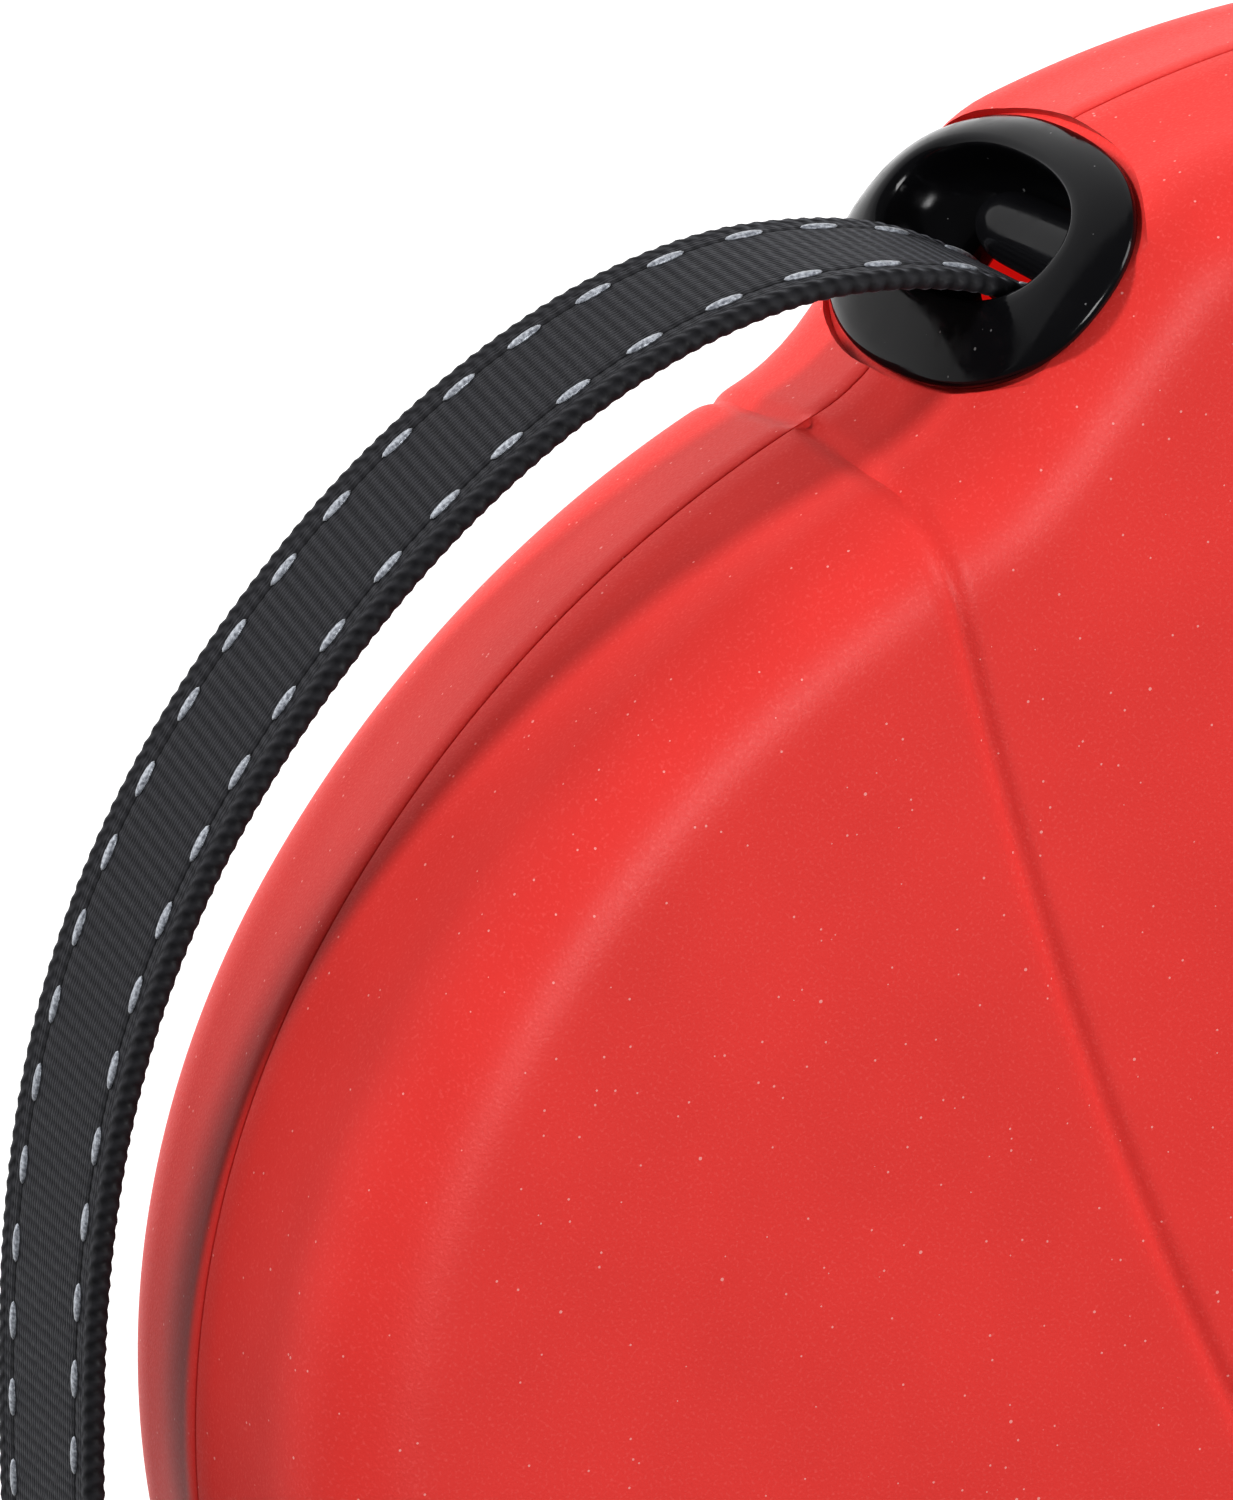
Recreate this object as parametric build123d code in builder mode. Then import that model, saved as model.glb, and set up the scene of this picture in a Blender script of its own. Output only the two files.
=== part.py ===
"""A retractable tape leash: two casing halves round a sprung reel, a thumb brake with a lock,
a tape nozzle, and a stopper, swivel and bolt snap on the tape's end.

Millimetres. The casing lies on its side. The origin is where the reel's axis meets the rest plane.
+Z runs up the reel's axis, -X is the side where the tape leaves, +Y points to the top of the handle.
"""
import os
from math import acos, atan2, cos, degrees, hypot, pi, radians, sin, tan

from build123d import *

os.makedirs("parts", exist_ok=True)

# Casing
disc_r = 58.0            # round part at the seam
swell_r = 75.0           # flatter arc that leads from the round part up to the front
swell_angle = 190.0      # where it leaves the round part
back_r = 82.0            # long round back of the handle
back_centre = (22.0, 18.0)
corner_r = 30.0          # rear corner under the handle
corner_angle = -12.0     # where the corner's centre lies, seen from the back's centre
front_x = 6.7 - disc_r    # flat front that carries the nozzle
depth = 35.0             # over both side faces
draft = 3.0              # how much smaller a side face is than the seam, all round
wall = 2.0
floor = 2.5
face_fillet = 6.0
neck_fillet = 12.0
brow_fillet = 12.0
seam_z = depth / 2

# Finger hole, an arc about the reel's axis
hole_mid_r = disc_r + 17
hole_half_width = 15.0
hole_start = 12.0
hole_end = 75.0
hole_fillet = 4.0
grip_thickness = 2.0
grip_depth = 22.0

# Fasteners
screw_insets = [(9.6, 144.6), (8.7, 70.7), (12.6, 41.5), (12.3, -4.1), (27.3, -39.8)]
screw_places = [(back_centre[0] + (back_r - inset) * cos(radians(angle)),
                 back_centre[1] + (back_r - inset) * sin(radians(angle)))
                for inset, angle in screw_insets]
screw_r = 1.4
screw_head_r = 2.7
screw_head_depth = 2.0
boss_r = 3.6
screw_gap = 0.1

# Reel, axle and tape
axle_r = 3.5
run_gap = 0.05           # radial clearance of the reel on its axle
axle_boss_r = 6.5
washer_thickness = 0.5
end_gap = 0.15
flange_r = disc_r - wall - 3.2
top_flange_r = flange_r - 1.3
flange_thickness = 1.6
drum_r = 22.0
drum_wall = 3.4
coil_r = top_flange_r - 5
coil_gap = 0.6           # between each flange and the tape
tape_width = 15.0
tape_thickness = 1.2
flange_z = seam_z - tape_width / 2 - coil_gap - flange_thickness    # underside of the toothed flange
axle_boss_z = flange_z - 0.8
notch_count = 24
notch_depth = 4.0
notch_width = 9.0
spring_pitch = 0.95
spring_strip = 0.3

# Nozzle
nozzle_y = coil_r
flange_width = 31.6
flange_height = 17.7
neck_width = 25.0
neck_height = 13.0
mouth_y = nozzle_y + 1.4
mouth_width = 20.8
mouth_height = 9.6
mouth_fillet = 1.5
nozzle_front_x = front_x - 1.5
nozzle_rear_x = front_x + 9.8
guide_bar_r = 2.3
guide_bar_x = front_x + 4.1
guide_bar_y = nozzle_y + 2.8
guide_bar_z = (seam_z - 6.5, seam_z + mouth_width / 2 + 1.2)

# Brake and lock, laid out along one line from the reel's axis
brake_angle = 105.0
brake_travel = 4.0
tongue_width = 7.6
tongue_gap = 0.8         # between the resting tongue and the toothed flange
slider_width = 16.0
slider_z = (flange_z - 2.6, flange_z + 1.8)
slider_r = (disc_r, disc_r + 22)
button_z = (flange_z + 2, depth - flange_z - 2)
button_half = 13.0
button_rise = 4.5
lock_travel = 5.0
pocket_width = 2.4
pocket_r = disc_r + 14
slide_gap = 0.3

# End of the tape: stopper, swivel and snap, along +X
end_y = -90.0
end_z = 4.5
stopper_x = 34.0
stopper_length = 16.0
eye_wire_r = 1.7
eye_x = 56.0
barrel_x = 68.5
barrel_r = 4.4
tube_x = 77.0
tube_end_x = 97.0
tube_r = 4.1
bolt_r = 2.5
bolt_travel = 7.5
tip_x = 105.0
bow_wire_r = 2.6
bow_rise = 16.0
bow_bend = 8.0


def export(builder, name):
    """Label a finished piece and write it."""
    builder.part.label = name
    export_step(builder.part, f"parts/{name}.step")


def prism(profile, low, high, mode=Mode.ADD):
    """Extrude a profile drawn on the rest plane between two heights."""
    extrude(profile.moved(Location((0, 0, low))), amount=high - low, dir=(0, 0, 1), mode=mode)


def disc(radius, low, high, mode=Mode.ADD, at=(0, 0)):
    """Add or cut an upright cylinder."""
    with Locations((at[0], at[1], (low + high) / 2)):
        Cylinder(radius, high - low, mode=mode)


def block(x, y, z, mode=Mode.ADD):
    """Add or cut a box from its low and high x, y and z."""
    centre = [(low + high) / 2 for low, high in (x, y, z)]
    with Locations(tuple(centre)):
        Box(x[1] - x[0], y[1] - y[0], z[1] - z[0], mode=mode)


def rod(radius, low, high, y, z, mode=Mode.ADD):
    """Add or cut a cylinder that lies along X."""
    with Locations(((low + high) / 2, y, z)):
        Cylinder(radius, high - low, rotation=(0, 90, 0), mode=mode)


# ---------------------------------------------------------------- Casing outline
corner_reach = back_r - corner_r
corner_centre = (
    back_centre[0] + corner_reach * cos(radians(corner_angle)),
    back_centre[1] + corner_reach * sin(radians(corner_angle)),
)


def casing_outline(inset):
    """The casing's side view, drawn in from the seam's outline by an inset."""
    disc_in = disc_r - inset
    back_in = back_r - inset
    corner_in = corner_r - inset
    front = front_x + inset
    swell_in = swell_r - inset
    swell_centre = ((disc_r - swell_r) * cos(radians(swell_angle)),
                    (disc_r - swell_r) * sin(radians(swell_angle)))
    kink = degrees(acos((front - swell_centre[0]) / swell_in))
    lean = degrees(atan2(corner_centre[1], corner_centre[0]))
    tangent = lean - degrees(acos((disc_r - corner_r) / hypot(*corner_centre))) + 360
    brow = degrees(acos((front - back_centre[0]) / back_in))
    brow_y = back_centre[1] + back_in * sin(radians(brow))
    kink_y = swell_centre[1] + swell_in * sin(radians(kink))
    under = tangent - 360
    with BuildSketch() as outline:
        with BuildLine():
            CenterArc(swell_centre, swell_in, kink, swell_angle - kink)
            CenterArc((0, 0), disc_in, swell_angle, tangent - swell_angle)
            Line(
                (disc_in * cos(radians(under)), disc_in * sin(radians(under))),
                (
                    corner_centre[0] + corner_in * cos(radians(under)),
                    corner_centre[1] + corner_in * sin(radians(under)),
                ),
            )
            CenterArc(corner_centre, corner_in, under, corner_angle - under)
            CenterArc(back_centre, back_in, corner_angle, brow - corner_angle)
            Line((front, brow_y), (front, kink_y))
        make_face()
        corners = outline.vertices().sort_by(Axis.X)
        front_corners = [v for v in corners if abs(v.X - front) < 0.01]
        front_corners.sort(key=lambda v: v.Y)
        fillet(front_corners[0], neck_fillet + inset)
        front_corners = [v for v in outline.vertices() if abs(v.X - front) < 0.01]
        front_corners.sort(key=lambda v: v.Y)
        fillet(front_corners[-1], brow_fillet - inset)
    return outline.sketch


def hole_profile(grow):
    """The finger hole's outline, grown outwards by a margin."""
    with BuildSketch() as profile:
        with BuildLine() as centre:
            CenterArc((0, 0), hole_mid_r, hole_start, hole_end - hole_start)
        SlotArc(centre.edges()[0], 2 * (hole_half_width + grow))
    return profile.sketch


def ring_sector(inner, outer, start, end):
    """A flat piece of a ring about the reel's axis."""
    with BuildSketch() as sector:
        with BuildLine():
            CenterArc((0, 0), outer, start, end - start)
            CenterArc((0, 0), inner, start, end - start)
            Line(
                (inner * cos(radians(start)), inner * sin(radians(start))),
                (outer * cos(radians(start)), outer * sin(radians(start))),
            )
            Line(
                (inner * cos(radians(end)), inner * sin(radians(end))),
                (outer * cos(radians(end)), outer * sin(radians(end))),
            )
        make_face()
    return sector.sketch


# ---------------------------------------------------------------- Brake line
brake_plane = Plane(
    origin=(0, 0, 0),
    x_dir=(sin(radians(brake_angle)), -cos(radians(brake_angle)), 0),
    z_dir=(0, 0, 1),
)


def brake_block(across, out, z, mode=Mode.ADD):
    """Add or cut a box laid along the brake's line: across it, out from the axle, and up."""
    with BuildSketch() as profile:
        with Locations(brake_plane):
            with Locations(((across[0] + across[1]) / 2, (out[0] + out[1]) / 2)):
                Rectangle(across[1] - across[0], out[1] - out[0])
    prism(profile.sketch, z[0], z[1], mode)


def brake_point(across, out):
    """A point on the rest plane, from its place along the brake's line."""
    place = brake_plane.from_local_coords(Vector(across, out, 0))
    return (place.X, place.Y)


def back_ring(inner, outer, half):
    """A flat piece that follows the handle's back, as wide as the brake's button."""
    with BuildSketch() as ring:
        with Locations(back_centre):
            Circle(outer)
            Circle(inner, mode=Mode.SUBTRACT)
        with Locations(brake_plane):
            with Locations((0, back_r)):
                Rectangle(2 * half, back_r, mode=Mode.INTERSECT)
    return ring.sketch


def nozzle_oval(width, height, centre_y, x):
    """An upright oval, long along Z, on a plane across the nozzle."""
    with BuildSketch(Plane.YZ.offset(x)) as oval:
        with Locations((centre_y, seam_z)):
            SlotOverall(width, height, rotation=90)
    return oval.sketch


# ---------------------------------------------------------------- Brake and lock places
# Each pair is low and high: across the brake's line, out along it, or up.
slider_half = slider_width / 2
window_half = 2.6
brake_start = slider_r[0]
back_out = back_centre[0] * cos(radians(brake_angle)) + back_centre[1] * sin(radians(brake_angle))
back_across = back_centre[0] * sin(radians(brake_angle)) - back_centre[1] * cos(radians(brake_angle))
back_reach = back_out + (back_r ** 2 - back_across ** 2) ** 0.5    # the handle's back, on the line
lock_reach = back_out + back_r                                      # and beside it, at the lock
window_r = (brake_start + 4.5, brake_start + 18)
post_r = (brake_start + 5, brake_start + 7)
post_half = 2.0
rib_r = (brake_start + 2, brake_start + 12)
rib_across = (slider_half + slide_gap, slider_half + slide_gap + 2.4)
keeper_r = (brake_start + 3, brake_start + 11)
keeper_thickness = 1.5
rail_across = (4.4, 7.4)
button_foot_r = (brake_start + 16, back_reach - 5.5)
button_foot_half = 6.0
collar_half = 14.0
collar_r = (back_r - wall - 5.0, back_r - wall - 2.2)
lock_stem = (25.0, 32.0)
lock_stem_z = (seam_z - 3, seam_z + 3)
lock_arm_r = (lock_reach - 11.2, lock_reach - 8.2)
lock_arm = (19.5, 33.0)
lock_column = (15.0, 20.0)
lock_tongue = (9.5, 15.5)
lock_low_z = (slider_z[0] + 1, slider_z[1] - 0.6)
lock_slot = (lock_stem[0] - lock_travel - slide_gap, lock_stem[1] + slide_gap)
lock_pad_r = (lock_reach + 0.4, lock_reach + 3.8)
lock_pad = (22.0, 34.0)
lock_pad_z = (seam_z - 5, seam_z + 5)


# ---------------------------------------------------------------- Casing halves
hole_ends = [
    (hole_mid_r * cos(radians(a)), hole_mid_r * sin(radians(a))) for a in (hole_start, hole_end)
]


def is_hole_edge(edge):
    """True for an edge of the finger hole."""
    middle = edge @ 0.5
    reach = hypot(middle.X, middle.Y)
    turn = degrees(atan2(middle.Y, middle.X))
    near = min(hypot(middle.X - x, middle.Y - y) for x, y in hole_ends)
    along = hole_start - 1 < turn < hole_end + 1
    beside = abs(abs(reach - hole_mid_r) - hole_half_width) < 0.1
    return (along and beside) or abs(near - hole_half_width) < 0.1


def casing_hollow():
    """The room inside one casing half, clear of the wall round the finger hole."""
    with BuildPart() as hollow:
        with BuildSketch(Plane.XY.offset(seam_z)):
            add(casing_outline(wall))
        with BuildSketch(Plane.XY.offset(floor)):
            add(casing_outline(wall + draft + 0.6))
        loft(ruled=True)
        prism(hole_profile(wall), 0, seam_z + 1, Mode.SUBTRACT)
    return hollow.part


def casing_half():
    """One half of the casing, as it lies under the seam: skin, hollow, finger hole and bosses."""
    hollow = casing_hollow()
    with BuildPart() as half:
        with BuildSketch(Plane.XY.offset(seam_z)):
            add(casing_outline(0))
        with BuildSketch(Plane.XY):
            add(casing_outline(draft))
        loft(ruled=True)
        fillet(half.faces().sort_by(Axis.Z)[0].edges(), face_fillet)
        prism(hole_profile(0), -1, seam_z + 1, Mode.SUBTRACT)
        rim = half.edges().filter_by_position(Axis.Z, -0.01, 0.01)
        fillet([e for e in rim if is_hole_edge(e)], hole_fillet)
        add(hollow, mode=Mode.SUBTRACT)
        for place in screw_places:
            disc(boss_r, floor - 1, seam_z, at=place)
        disc(axle_boss_r, floor - 1, axle_boss_z)
        neck = nozzle_oval(neck_width + 2 * screw_gap, neck_height + 2 * screw_gap, nozzle_y, front_x - 5)
        extrude(neck, amount=12, dir=(1, 0, 0), mode=Mode.SUBTRACT)
        opening = button_half + slide_gap
        brake_block((-opening, opening), (button_foot_r[0], 110), (button_z[0] - slide_gap, depth),
                    Mode.SUBTRACT)
        brake_block(lock_slot, (lock_arm_r[1], 110), (lock_stem_z[0] - slide_gap, depth),
                    Mode.SUBTRACT)
    return half.part


half_shape = casing_half()

with BuildPart() as right_shell:
    add(half_shape)
    # Guides of the brake slider, the rails that it runs on, and its spring's post
    for side in (-1, 1):
        guide = sorted((side * rib_across[0], side * rib_across[1]))
        brake_block(guide, rib_r, (floor - 1, slider_z[1] + 0.1))
        rail = sorted((side * rail_across[0], side * rail_across[1]))
        brake_block(rail, (slider_r[0], slider_r[1] - 2), (floor - 1, slider_z[0] - 0.1))
    brake_block((-post_half, post_half), post_r, (floor - 1, slider_z[1] - 0.2))
    # Screw holes with sunk heads, and the axle's blind seat
    for place in screw_places:
        disc(screw_r + screw_gap, -1, seam_z + 1, Mode.SUBTRACT, place)
        disc(screw_head_r + 2 * screw_gap, -1, screw_head_depth + 0.5, Mode.SUBTRACT, place)
    disc(axle_r, floor, axle_boss_z + 1, Mode.SUBTRACT)
export(right_shell, "right_shell")

with BuildPart() as upper_half:
    add(half_shape)
    for place in screw_places:
        disc(screw_r, seam_z - 9, seam_z + 1, Mode.SUBTRACT, place)
    disc(axle_r, floor, axle_boss_z + 1, Mode.SUBTRACT)
with BuildPart() as left_shell:
    mirror(upper_half.part, about=Plane.XY.offset(seam_z))
export(left_shell, "left_shell")

with BuildPart() as housing_screws:
    for place in screw_places:
        disc(screw_r, screw_head_depth, seam_z + 8, at=place)
        disc(screw_head_r, 0.5, screw_head_depth + 0.5, at=place)
        block((place[0] - 1.6, place[0] + 1.6), (place[1] - 0.35, place[1] + 0.35), (0.4, 1.5),
              Mode.SUBTRACT)
        block((place[0] - 0.35, place[0] + 0.35), (place[1] - 1.6, place[1] + 1.6), (0.4, 1.5),
              Mode.SUBTRACT)
export(housing_screws, "housing_screws")

hole_outer_r = hole_mid_r + hole_half_width
with BuildPart() as grip_pad:
    pad = ring_sector(hole_outer_r - grip_thickness, hole_outer_r, hole_start + 6, hole_end - 6)
    prism(pad, seam_z - grip_depth / 2, seam_z + grip_depth / 2)
export(grip_pad, "grip_pad")

# ---------------------------------------------------------------- Axle, reel and mainspring
coil_low = flange_z + flange_thickness + coil_gap
coil_high = coil_low + tape_width
top_flange_z = coil_high + coil_gap
hub_r = 6.5
hub_low = axle_boss_z + washer_thickness + end_gap
hub_high = depth - hub_low

with BuildPart() as axle:
    disc(axle_r, floor, depth - floor)
    block((0, axle_r + 1), (-0.4, 0.4), (coil_low + 1, coil_high - 1), Mode.SUBTRACT)
export(axle, "axle")

with BuildPart() as thrust_washers:
    for low in (axle_boss_z, depth - axle_boss_z - washer_thickness):
        disc(axle_boss_r - 0.5, low, low + washer_thickness)
    disc(axle_r + 2 * run_gap, 0, depth, Mode.SUBTRACT)
export(thrust_washers, "thrust_washers")

reel_screw_r = 0.9
reel_screw_ring = drum_r - drum_wall / 2
window_ring = (drum_r + coil_r) / 2
window_hole_r = 7.0


def round_holes(ring, count, radius, low, high, mode=Mode.SUBTRACT):
    """Cut or add upright cylinders evenly round the axle."""
    with PolarLocations(ring, count):
        with Locations((0, 0, (low + high) / 2)):
            Cylinder(radius, high - low, mode=mode)


with BuildPart() as reel:
    disc(flange_r, flange_z, flange_z + flange_thickness)
    disc(drum_r, flange_z, top_flange_z)
    disc(drum_r - drum_wall, flange_z + flange_thickness, top_flange_z + 1, Mode.SUBTRACT)
    disc(hub_r, hub_low, coil_low + 0.6)
    disc(axle_r + run_gap, 0, depth, Mode.SUBTRACT)
    with BuildSketch(Plane.XY.offset(flange_z - 1)):
        with PolarLocations(flange_r, notch_count):
            Rectangle(2 * notch_depth, notch_width)
    extrude(amount=flange_thickness + 2, mode=Mode.SUBTRACT)
    round_holes(window_ring, 6, window_hole_r, flange_z - 1, coil_low)
    round_holes(reel_screw_ring, 3, reel_screw_r, top_flange_z - 8, top_flange_z + 1)
export(reel, "reel")

with BuildPart() as reel_flange:
    disc(top_flange_r, top_flange_z, top_flange_z + flange_thickness)
    disc(hub_r, top_flange_z - 0.6, hub_high)
    disc(axle_r + run_gap, 0, depth, Mode.SUBTRACT)
    round_holes(window_ring, 6, window_hole_r, coil_high, depth)
    round_holes(reel_screw_ring, 3, reel_screw_r + screw_gap, coil_high, depth)
export(reel_flange, "reel_flange")

with BuildPart() as reel_screws:
    round_holes(reel_screw_ring, 3, reel_screw_r, top_flange_z - 6, top_flange_z + 3, Mode.ADD)
    round_holes(reel_screw_ring, 3, 2 * reel_screw_r, top_flange_z + flange_thickness,
                top_flange_z + flange_thickness + 1.1, Mode.ADD)
    block((-depth, depth), (-depth, depth), (top_flange_z + flange_thickness + 1.1, depth), Mode.SUBTRACT)
export(reel_screws, "reel_screws")

spring_start_r = axle_r + 1.2
spring_turns = int((drum_r - drum_wall - 0.8 - spring_start_r) / spring_pitch)
with BuildPart() as mainspring:
    with BuildSketch(Plane.XY.offset(coil_low + 1.2)):
        with BuildLine():
            for turn in range(spring_turns):
                radius = spring_start_r + turn * spring_pitch
                CenterArc((0, 0), radius, 0, 180)
                CenterArc((spring_pitch / 2, 0), radius + spring_pitch / 2, 180, 180)
        trace(line_width=spring_strip)
    extrude(amount=tape_width - 2.4)
export(mainspring, "mainspring")

with BuildPart() as tape_coil:
    disc(coil_r, coil_low, coil_high)
    disc(drum_r, 0, depth, Mode.SUBTRACT)
export(tape_coil, "tape_coil")

# ---------------------------------------------------------------- Nozzle and guide bar
with BuildPart() as nozzle:
    extrude(nozzle_oval(neck_width, neck_height, nozzle_y, front_x - 0.2),
            amount=nozzle_rear_x - front_x + 0.2, dir=(1, 0, 0))
    extrude(nozzle_oval(flange_width, flange_height, nozzle_y, nozzle_front_x),
            amount=front_x - 0.1 - nozzle_front_x, dir=(1, 0, 0))
    fillet(nozzle.faces().sort_by(Axis.X)[0].edges(), 1.0)
    extrude(nozzle_oval(neck_width - 4, neck_height + 5, nozzle_y, nozzle_rear_x - 3.9),
            amount=2.0, dir=(1, 0, 0))
    extrude(nozzle_oval(mouth_width, mouth_height, mouth_y, nozzle_front_x - 1),
            amount=nozzle_rear_x - nozzle_front_x + 2, dir=(1, 0, 0), mode=Mode.SUBTRACT)
    rim = nozzle.faces().sort_by(Axis.X)[0].inner_wires()[0]
    fillet(rim.edges(), mouth_fillet)
    with Locations((guide_bar_x, guide_bar_y, sum(guide_bar_z) / 2)):
        Cylinder(guide_bar_r, guide_bar_z[1] - guide_bar_z[0], mode=Mode.SUBTRACT)
export(nozzle, "nozzle")

with BuildPart() as guide_bar:
    with Locations((guide_bar_x, guide_bar_y, sum(guide_bar_z) / 2)):
        Cylinder(guide_bar_r, guide_bar_z[1] - guide_bar_z[0])
    extrude(nozzle_oval(neck_width - 0.4, neck_height - 0.4, nozzle_y, front_x - 0.2),
            amount=nozzle_rear_x - front_x + 0.2, dir=(1, 0, 0), mode=Mode.INTERSECT)
export(guide_bar, "guide_bar")

# ---------------------------------------------------------------- Brake, its spring and the lock
tongue_tip = flange_r + tongue_gap
with BuildPart() as brake_slider:
    brake_block((-slider_half, slider_half), slider_r, slider_z)
    brake_block((-tongue_width / 2, tongue_width / 2), (tongue_tip, slider_r[0] + 1), slider_z)
    brake_block((-window_half, window_half), window_r, (0, seam_z), Mode.SUBTRACT)
    for shift in (0, brake_travel):
        notch = (pocket_r + shift, pocket_r + shift + pocket_width)
        brake_block((slider_half - 3.8, slider_half + 1), notch, (0, seam_z), Mode.SUBTRACT)
    disc(1.5, 0, seam_z, Mode.SUBTRACT, brake_point(0, slider_r[1] - 2))
export(brake_slider, "brake_slider")

with BuildPart() as brake_button:
    prism(back_ring(collar_r[0], collar_r[1], collar_half), button_z[0], button_z[1])
    prism(back_ring(collar_r[1] - 1, back_r + button_rise, button_half), button_z[0], button_z[1])
    top_edges = brake_button.edges().filter_by(Axis.Z)
    crown = top_edges.group_by(lambda e: round(hypot(e.center().X - back_centre[0],
                                                     e.center().Y - back_centre[1]), 1))[-1]
    fillet(crown, 2.5)
    foot = (-button_foot_half, button_foot_half)
    brake_block(foot, button_foot_r, (slider_z[1], slider_z[1] + 5))
    disc(1.5, 0, slider_z[1] + 3, Mode.SUBTRACT, brake_point(0, slider_r[1] - 2))
export(brake_button, "brake_button")

with BuildPart() as button_pin:
    disc(1.5, slider_z[0], slider_z[1] + 3, at=brake_point(0, slider_r[1] - 2))
export(button_pin, "button_pin")

with BuildPart() as brake_keeper:
    outer = rib_across[1]
    brake_block((-outer, outer), keeper_r, (slider_z[1] + 0.1, slider_z[1] + 0.1 + keeper_thickness))
export(brake_keeper, "brake_keeper")

coil_wire_r = 0.25
coil_mean_r = 1.8


def compression_spring(start, direction, length, mean_r, wire_r, turns):
    """An open coil spring between two points."""
    with BuildPart() as spring:
        with BuildLine() as line:
            Helix(length / turns, length, mean_r, center=start, direction=direction)
        with BuildSketch(Plane(origin=line.line @ 0, z_dir=line.line % 0)):
            Circle(wire_r)
        sweep(path=line.line)
    return spring.part


outwards = (cos(radians(brake_angle)), sin(radians(brake_angle)), 0)
spring_foot = brake_point(0, post_r[1] + 0.3)
spring_middle_z = (slider_z[0] + slider_z[1]) / 2
with BuildPart() as brake_spring:
    add(compression_spring((spring_foot[0], spring_foot[1], spring_middle_z), outwards,
                           window_r[1] - post_r[1] - 0.6, coil_mean_r, coil_wire_r, 7))
export(brake_spring, "brake_spring")

with BuildPart() as lock_slider:
    brake_block(lock_pad, lock_pad_r, lock_pad_z)
    fillet(lock_slider.edges(), 0.8)
    brake_block(lock_stem, (lock_arm_r[0], lock_pad_r[0] + 1), lock_stem_z)
    brake_block(lock_arm, lock_arm_r, (lock_low_z[0], lock_stem_z[1]))
    brake_block(lock_column, (pocket_r + 0.2, lock_arm_r[1]), lock_low_z)
    brake_block(lock_tongue, (pocket_r + 0.2, pocket_r + pocket_width - 0.2), lock_low_z)
export(lock_slider, "lock_slider")

# ---------------------------------------------------------------- Tape
# The route of the free tape's middle line, chosen by hand, from the nozzle to the stopper.
# The third value of each point is its share of the seam's height over the stopper's.
tape_run = [
    (-46.0, 46.2, 1), (-50.5, 45.3, 1), (-56.2, 42.0, 0.992), (-62.2, 36.2, 0.962),
    (-66.8, 26.9, 0.885), (-69.0, 14.6, 0.746), (-68.5, 1.6, 0.592), (-66.0, -11.2, 0.446),
    (-61.2, -23.0, 0.331), (-54.2, -33.9, 0.262), (-45.4, -44.3, 0.238), (-35.5, -54.8, 0.238),
    (-23.6, -65.4, 0.231), (-10.4, -74.8, 0.185), (3.0, -82.2, 0.1), (15.0, -87.4, 0.023),
]
tape_route = [(x, y, end_z + rise * (seam_z - end_z)) for x, y, rise in tape_run]
tape_route += [(25.0, end_y, end_z), (stopper_x, end_y, end_z)]


def corner_radii(points):
    """A radius for each corner of a route, as large as its two runs allow."""
    radii = []
    for before, at, after in zip(points, points[1:], points[2:]):
        run_in = Vector(*at) - Vector(*before)
        run_out = Vector(*after) - Vector(*at)
        turn = radians(run_in.get_angle(run_out))
        radii.append(0.45 * min(run_in.length, run_out.length) / tan(turn / 2))
    return radii


tape_radii = corner_radii(tape_route)
print("tape radii", [round(r, 1) for r in tape_radii])
with BuildLine() as tape_line:
    FilletPolyline(*tape_route, radius=tape_radii)
tape_wire = tape_line.wire()
print("tape length", round(tape_wire.length, 1))


def tape_plane(at, lean):
    """The plane across the tape at a share of its length, leaning from on edge towards flat."""
    heading = tape_wire.tangent_at(at)
    level = Vector(heading.X, heading.Y, 0).normalized()
    side = Vector(-level.Y, level.X, 0)
    thin = side * cos(lean) + Vector(0, 0, 1) * sin(lean)
    return Plane(origin=tape_wire.position_at(at), x_dir=thin, z_dir=level)


def tape_section(at, lean):
    """The tape's cross-section at a share of its length."""
    with BuildSketch(tape_plane(at, lean)) as section:
        Rectangle(tape_thickness, tape_width)
    return section.sketch


twist_start = 0.56
twist_end = 0.93
with BuildPart() as tape_free:
    shares = [0.0, 0.02, 0.045, 0.07] + [0.1 + 0.046 * i for i in range(10)]
    shares += [twist_start + (twist_end - twist_start) * i / 10 for i in range(11)] + [1.0]
    for share in shares:
        turned = min(max((share - twist_start) / (twist_end - twist_start), 0), 1)
        add(tape_section(share, turned * turned * (3 - 2 * turned) * pi / 2))
    loft(ruled=True)
export(tape_free, "tape_free")

lead_start = (1.2, coil_r + 0.3 + tape_thickness / 2)
lead_end = tape_route[0]
with BuildPart() as tape_lead:
    with BuildSketch(Plane.XY.offset(seam_z - tape_width / 2)):
        with BuildLine():
            Line(lead_start, (lead_end[0], lead_end[1]))
        trace(line_width=tape_thickness)
    extrude(amount=tape_width)
export(tape_lead, "tape_lead")

# ---------------------------------------------------------------- Stopper, loop and snap
stopper_end = stopper_x + stopper_length
with BuildPart() as end_stopper:
    block((stopper_x, stopper_end), (end_y - 10.5, end_y + 10.5), (0.2, 2 * end_z - 0.2))
    fillet(end_stopper.edges(), 2.0)
export(end_stopper, "end_stopper")

loop_inner = eye_wire_r + 0.1
with BuildPart() as tape_loop:
    with Locations((eye_x, end_y, end_z)):
        Cylinder(loop_inner + tape_thickness, tape_width, rotation=(90, 0, 0))
    block((stopper_end, eye_x), (end_y - 7.5, end_y + 7.5),
          (end_z - tape_thickness - 0.1, end_z + tape_thickness + 0.1))
    with Locations((eye_x, end_y, end_z)):
        Cylinder(loop_inner, 2 * tape_width, rotation=(90, 0, 0), mode=Mode.SUBTRACT)
export(tape_loop, "tape_loop")

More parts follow.
